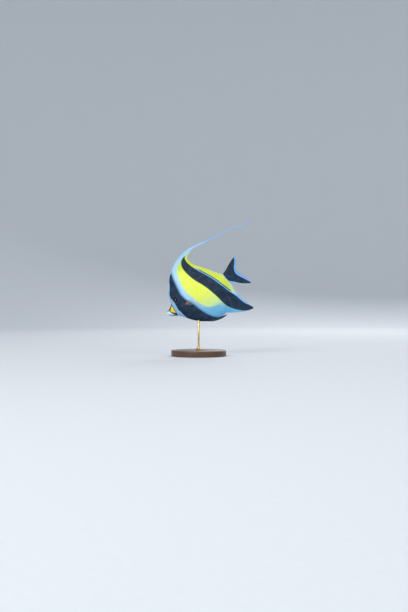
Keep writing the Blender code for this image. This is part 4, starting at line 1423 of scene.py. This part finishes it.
# Pelvic fins. The real ones are narrow and black, one spine and five rays each, and lie folded
# back along the keel of the belly. Each is a tapered blade whose rays show as ribs.
PELVIC_TOP = ((55.0, -50.6), (63.0, -55.6), (72.0, -59.4), (82.0, -62.0), (94.0, -64.0), (105.0, -66.5))
PELVIC_LOW = ((56.2, -52.6), (64.4, -58.6), (73.4, -63.6), (84.0, -66.9), (95.0, -68.0), (105.0, -66.7))
PELVIC_ASIDE = 0.85
PELVIC_HALF = 0.5
PELVIC_RIB = 0.16
PELVIC_RIBS = 5.5

dark_look, tree, shader = new_look("dark fin")
cloud, _ = grain_of(tree, 160.0)
# The dark fin is mottled with the same lighter blue, a painted sheen.
tone = paint(BAND, BAND_SHEEN, ramp(cloud, 0.35, 0.75))
dress(shader, tone, grain_of(tree, 2200.0, 0.38, 0.5), 0.03)

walk = np.linspace(0, 1, 90)
angle = np.linspace(0, 2 * np.pi, 89)
top_edge = through(np.linspace(0, 1, len(PELVIC_TOP)), PELVIC_TOP, walk)[:, None]
low_edge = through(np.linspace(0, 1, len(PELVIC_LOW)), PELVIC_LOW, walk)[:, None]
across = 0.5 + 0.5 * np.cos(angle)
aside = np.sin(angle)
ribs = np.cos(2 * np.pi * PELVIC_RIBS * across) * np.abs(aside) * smooth_step(walk / 0.2)[:, None]
thin = ((1 - 0.5 * walk) * rounded(np.minimum(walk, 1 - walk), 0.04))[:, None]
at = low_edge + (top_edge - low_edge) * across[None, :, None]
y = PELVIC_ASIDE + np.sign(aside) * (np.abs(aside) ** 0.6 * PELVIC_HALF + PELVIC_RIB * ribs) * thin
for side_name, sign in SIDES:
    blade = welded(f"pelvic_blade_{side_name}", [in_scene(at[..., 0], sign * y, at[..., 1])])
    settle(piece_of(blade, dark_look), "dark_fin", f"pelvic_fin_{side_name}")

# Stand base. A plain disc of dark hardwood, turned on a lathe with a rounded rim and one fine
# groove, then oiled and waxed.
BASE_RADIUS = 55.0
BASE_HEIGHT = 12.0
FOOT_ROUND = 1.2
RIM_ROUND = 2.4
GROOVE_RADIUS = 46.6
GROOVE = ((1.0, 0.0), (0.6, 0.1), (0.2, 0.55), (-0.2, 0.55), (-0.6, 0.1), (-1.0, 0.0))
HEART = (0.018, 0.05)
RING_WIDTH = 2.6

# The board is cut beside the heart of the tree, so its rings show as long, bent stripes.
wood_look, tree, shader = new_look("oiled walnut", Coat_Weight=0.25, Coat_Roughness=0.3)
drift, _ = grain_of(tree, 1.0, stretch=(7.0, 24.0, 24.0))
_, aside, up = split(here(tree))
years = ((length_of(aside + HEART[0], up + HEART[1]) + drift * 0.022) / (RING_WIDTH * MM)).maths("FRACT")
late = ramp(years, 0.15, 0.85) * (1 - ramp(years, 0.88, 1.0))
pores = grain_of(tree, 1.0, 0.34, 0.6, (110.0, 1900.0, 1900.0))
wood = paint(shade(104, 72, 48), shade(74, 48, 32), late)
wood = paint(wood, shade(86, 56, 36), ramp(drift, 0.35, 0.7))
wood = paint(wood, shade(44, 28, 20), ramp(pores[0], 0.55, 0.72) * 0.8)
dress(shader, wood, pores, -0.14)


def quarter(centre_r, centre_z, radius, begin, end, steps=6):
    """Points of a rounded edge in a turned profile, between two angles in degrees."""
    turns = np.radians(np.linspace(begin, end, steps))
    return [(centre_r + radius * math.cos(t), centre_z + radius * math.sin(t)) for t in turns]


rim_profile = [(0.0, 0.0), (BASE_RADIUS - 2.0, 0.0)]
rim_profile += quarter(BASE_RADIUS - FOOT_ROUND, FOOT_ROUND, FOOT_ROUND, -90, 0)
rim_profile += [(BASE_RADIUS, 8.6), (BASE_RADIUS, BASE_HEIGHT - RIM_ROUND)]
rim_profile += quarter(BASE_RADIUS - RIM_ROUND, BASE_HEIGHT - RIM_ROUND, RIM_ROUND, 0, 90, 8)
rim_profile += [(GROOVE_RADIUS + across, BASE_HEIGHT - down) for across, down in GROOVE]
rim_profile += [(radius, BASE_HEIGHT) for radius in (30.0, 10.0, 0.0)]
settle(piece_of(turned("walnut_base", rim_profile, 144), wood_look), "stand_wood", "stand_base")

# Rod and collar. One brass rod, drawn and polished, stands in the base and ends inside the belly.
# A turned brass collar hides the hole it stands in.
ROD_RADIUS = 1.9
ROD_FOOT = 12.3
ROD_TOP = 75.0
ROD_BEVEL = 0.6
COLLAR_RADIUS = 6.0
COLLAR_HEIGHT = 5.0
COLLAR_ROUND = 0.4

metal_look, tree, shader = new_look("polished brass", Metallic=1.0)
worn, wear = grain_of(tree, 90.0, 0.16, 0.3)
drawn, _ = grain_of(tree, 1.0, stretch=(2600.0, 2600.0, 90.0))
tint = paint(shade(206, 168, 94), shade(232, 200, 128), worn)
dress(shader, tint, (drawn, wear + ramp(drawn, 0.3, 0.7, -0.03, 0.05)), 0.004)

rod_profile = [(0.0, ROD_FOOT - 2.0), (ROD_RADIUS, ROD_FOOT - 2.0), (ROD_RADIUS, 30.0)]
rod_profile += [(ROD_RADIUS, ROD_TOP - ROD_BEVEL), (ROD_RADIUS - ROD_BEVEL, ROD_TOP), (0.0, ROD_TOP)]
settle(piece_of(turned("brass_rod", rod_profile, 48), metal_look), "stand_brass", "stand_rod")

brim = ROD_FOOT + COLLAR_HEIGHT
inner = ROD_RADIUS + 0.12
foot = (inner, ROD_FOOT - 0.3)
collar_profile = [foot, (COLLAR_RADIUS - COLLAR_ROUND, foot[1])]
collar_profile += quarter(COLLAR_RADIUS - COLLAR_ROUND, ROD_FOOT + 0.1, COLLAR_ROUND, -90, 0, 5)
collar_profile += quarter(COLLAR_RADIUS - COLLAR_ROUND, ROD_FOOT + 1.6, COLLAR_ROUND, 0, 60, 5)
collar_profile += [(5.0, ROD_FOOT + 2.3), (4.3, ROD_FOOT + 3.1), (3.9, ROD_FOOT + 4.0)]
collar_profile += quarter(3.4, brim - COLLAR_ROUND, COLLAR_ROUND, 0, 90, 5)
collar_profile += [(inner + 0.15, brim), (inner, brim - 0.15), foot]
settle(piece_of(turned("brass_collar", collar_profile, 64), metal_look), "stand_brass", "stand_collar")

# Floor and light. A pale floor runs up into a pale wall all the way round, so that the model
# stands in even, soft light whichever side it is seen from. None of it is part of the object.
ROOM_RADIUS = 3.4
COVE = 1.3
WALL = 3.2
bend = np.linspace(0.1, math.pi / 2, 14)
profile = [(0.0, 0.0), (ROOM_RADIUS - COVE, 0.0)]
profile += list(zip(ROOM_RADIUS - COVE + COVE * np.sin(bend), COVE - COVE * np.cos(bend)))
profile += [(ROOM_RADIUS, WALL)]
paper, tree, shader = new_look("pale paper")
pulp = grain_of(tree, 180.0, 0.8, 0.9)
dress(shader, paint(shade(204, 208, 213), shade(211, 215, 219), pulp[0]), pulp, 0.02)
room = piece_of(turned("room", np.array(profile) / MM, 96), paper)

# Each lamp is a soft square panel, given as its place, side and power, and aimed at the fish.
for name, at, size, power in (
    ("key", (-1.0, -1.9, 1.2), 1.0, 26.0),
    ("fill", (1.9, -2.0, 1.35), 1.5, 16.5),
    ("back", (0.7, 1.9, 1.3), 1.6, 20.0),
    ("top", (0.0, 0.0, 2.6), 1.8, 14.0),
):
    panel = bpy.data.lights.new(name, "AREA")
    panel.size = size
    panel.energy = power
    lamp = bpy.data.objects.new(name, panel)
    bpy.context.scene.collection.objects.link(lamp)
    lamp.location = at
    aim = np.array((0.0, 0.0, 0.12)) - np.array(at)
    lamp.rotation_euler = Vector(aim).to_track_quat("-Z", "Y").to_euler()

world = bpy.data.worlds.new("soft air")
bpy.context.scene.world = world
world.use_nodes = True
air = world.node_tree.nodes["Background"].inputs
air["Color"].default_value = shade(232, 238, 246)
air["Strength"].default_value = 0.6
bpy.context.scene.view_settings.view_transform = "Standard"

# The camera looks level from the fish's left. Its frame is the photo's, at 2 mm for each pixel.
LENS = 50.0
SENSOR = 36.0
FRAME_HEIGHT = 1.224
FRAME_MIDDLE = (0.0106, 0.1001)
lens = bpy.data.cameras.new("camera")
lens.lens = LENS
lens.sensor_width = SENSOR
camera = bpy.data.objects.new("camera", lens)
bpy.context.scene.collection.objects.link(camera)
camera.location = (FRAME_MIDDLE[0], -FRAME_HEIGHT * LENS / SENSOR, FRAME_MIDDLE[1])
camera.rotation_euler = (math.radians(90.0), 0.0, 0.0)
bpy.context.scene.camera = camera
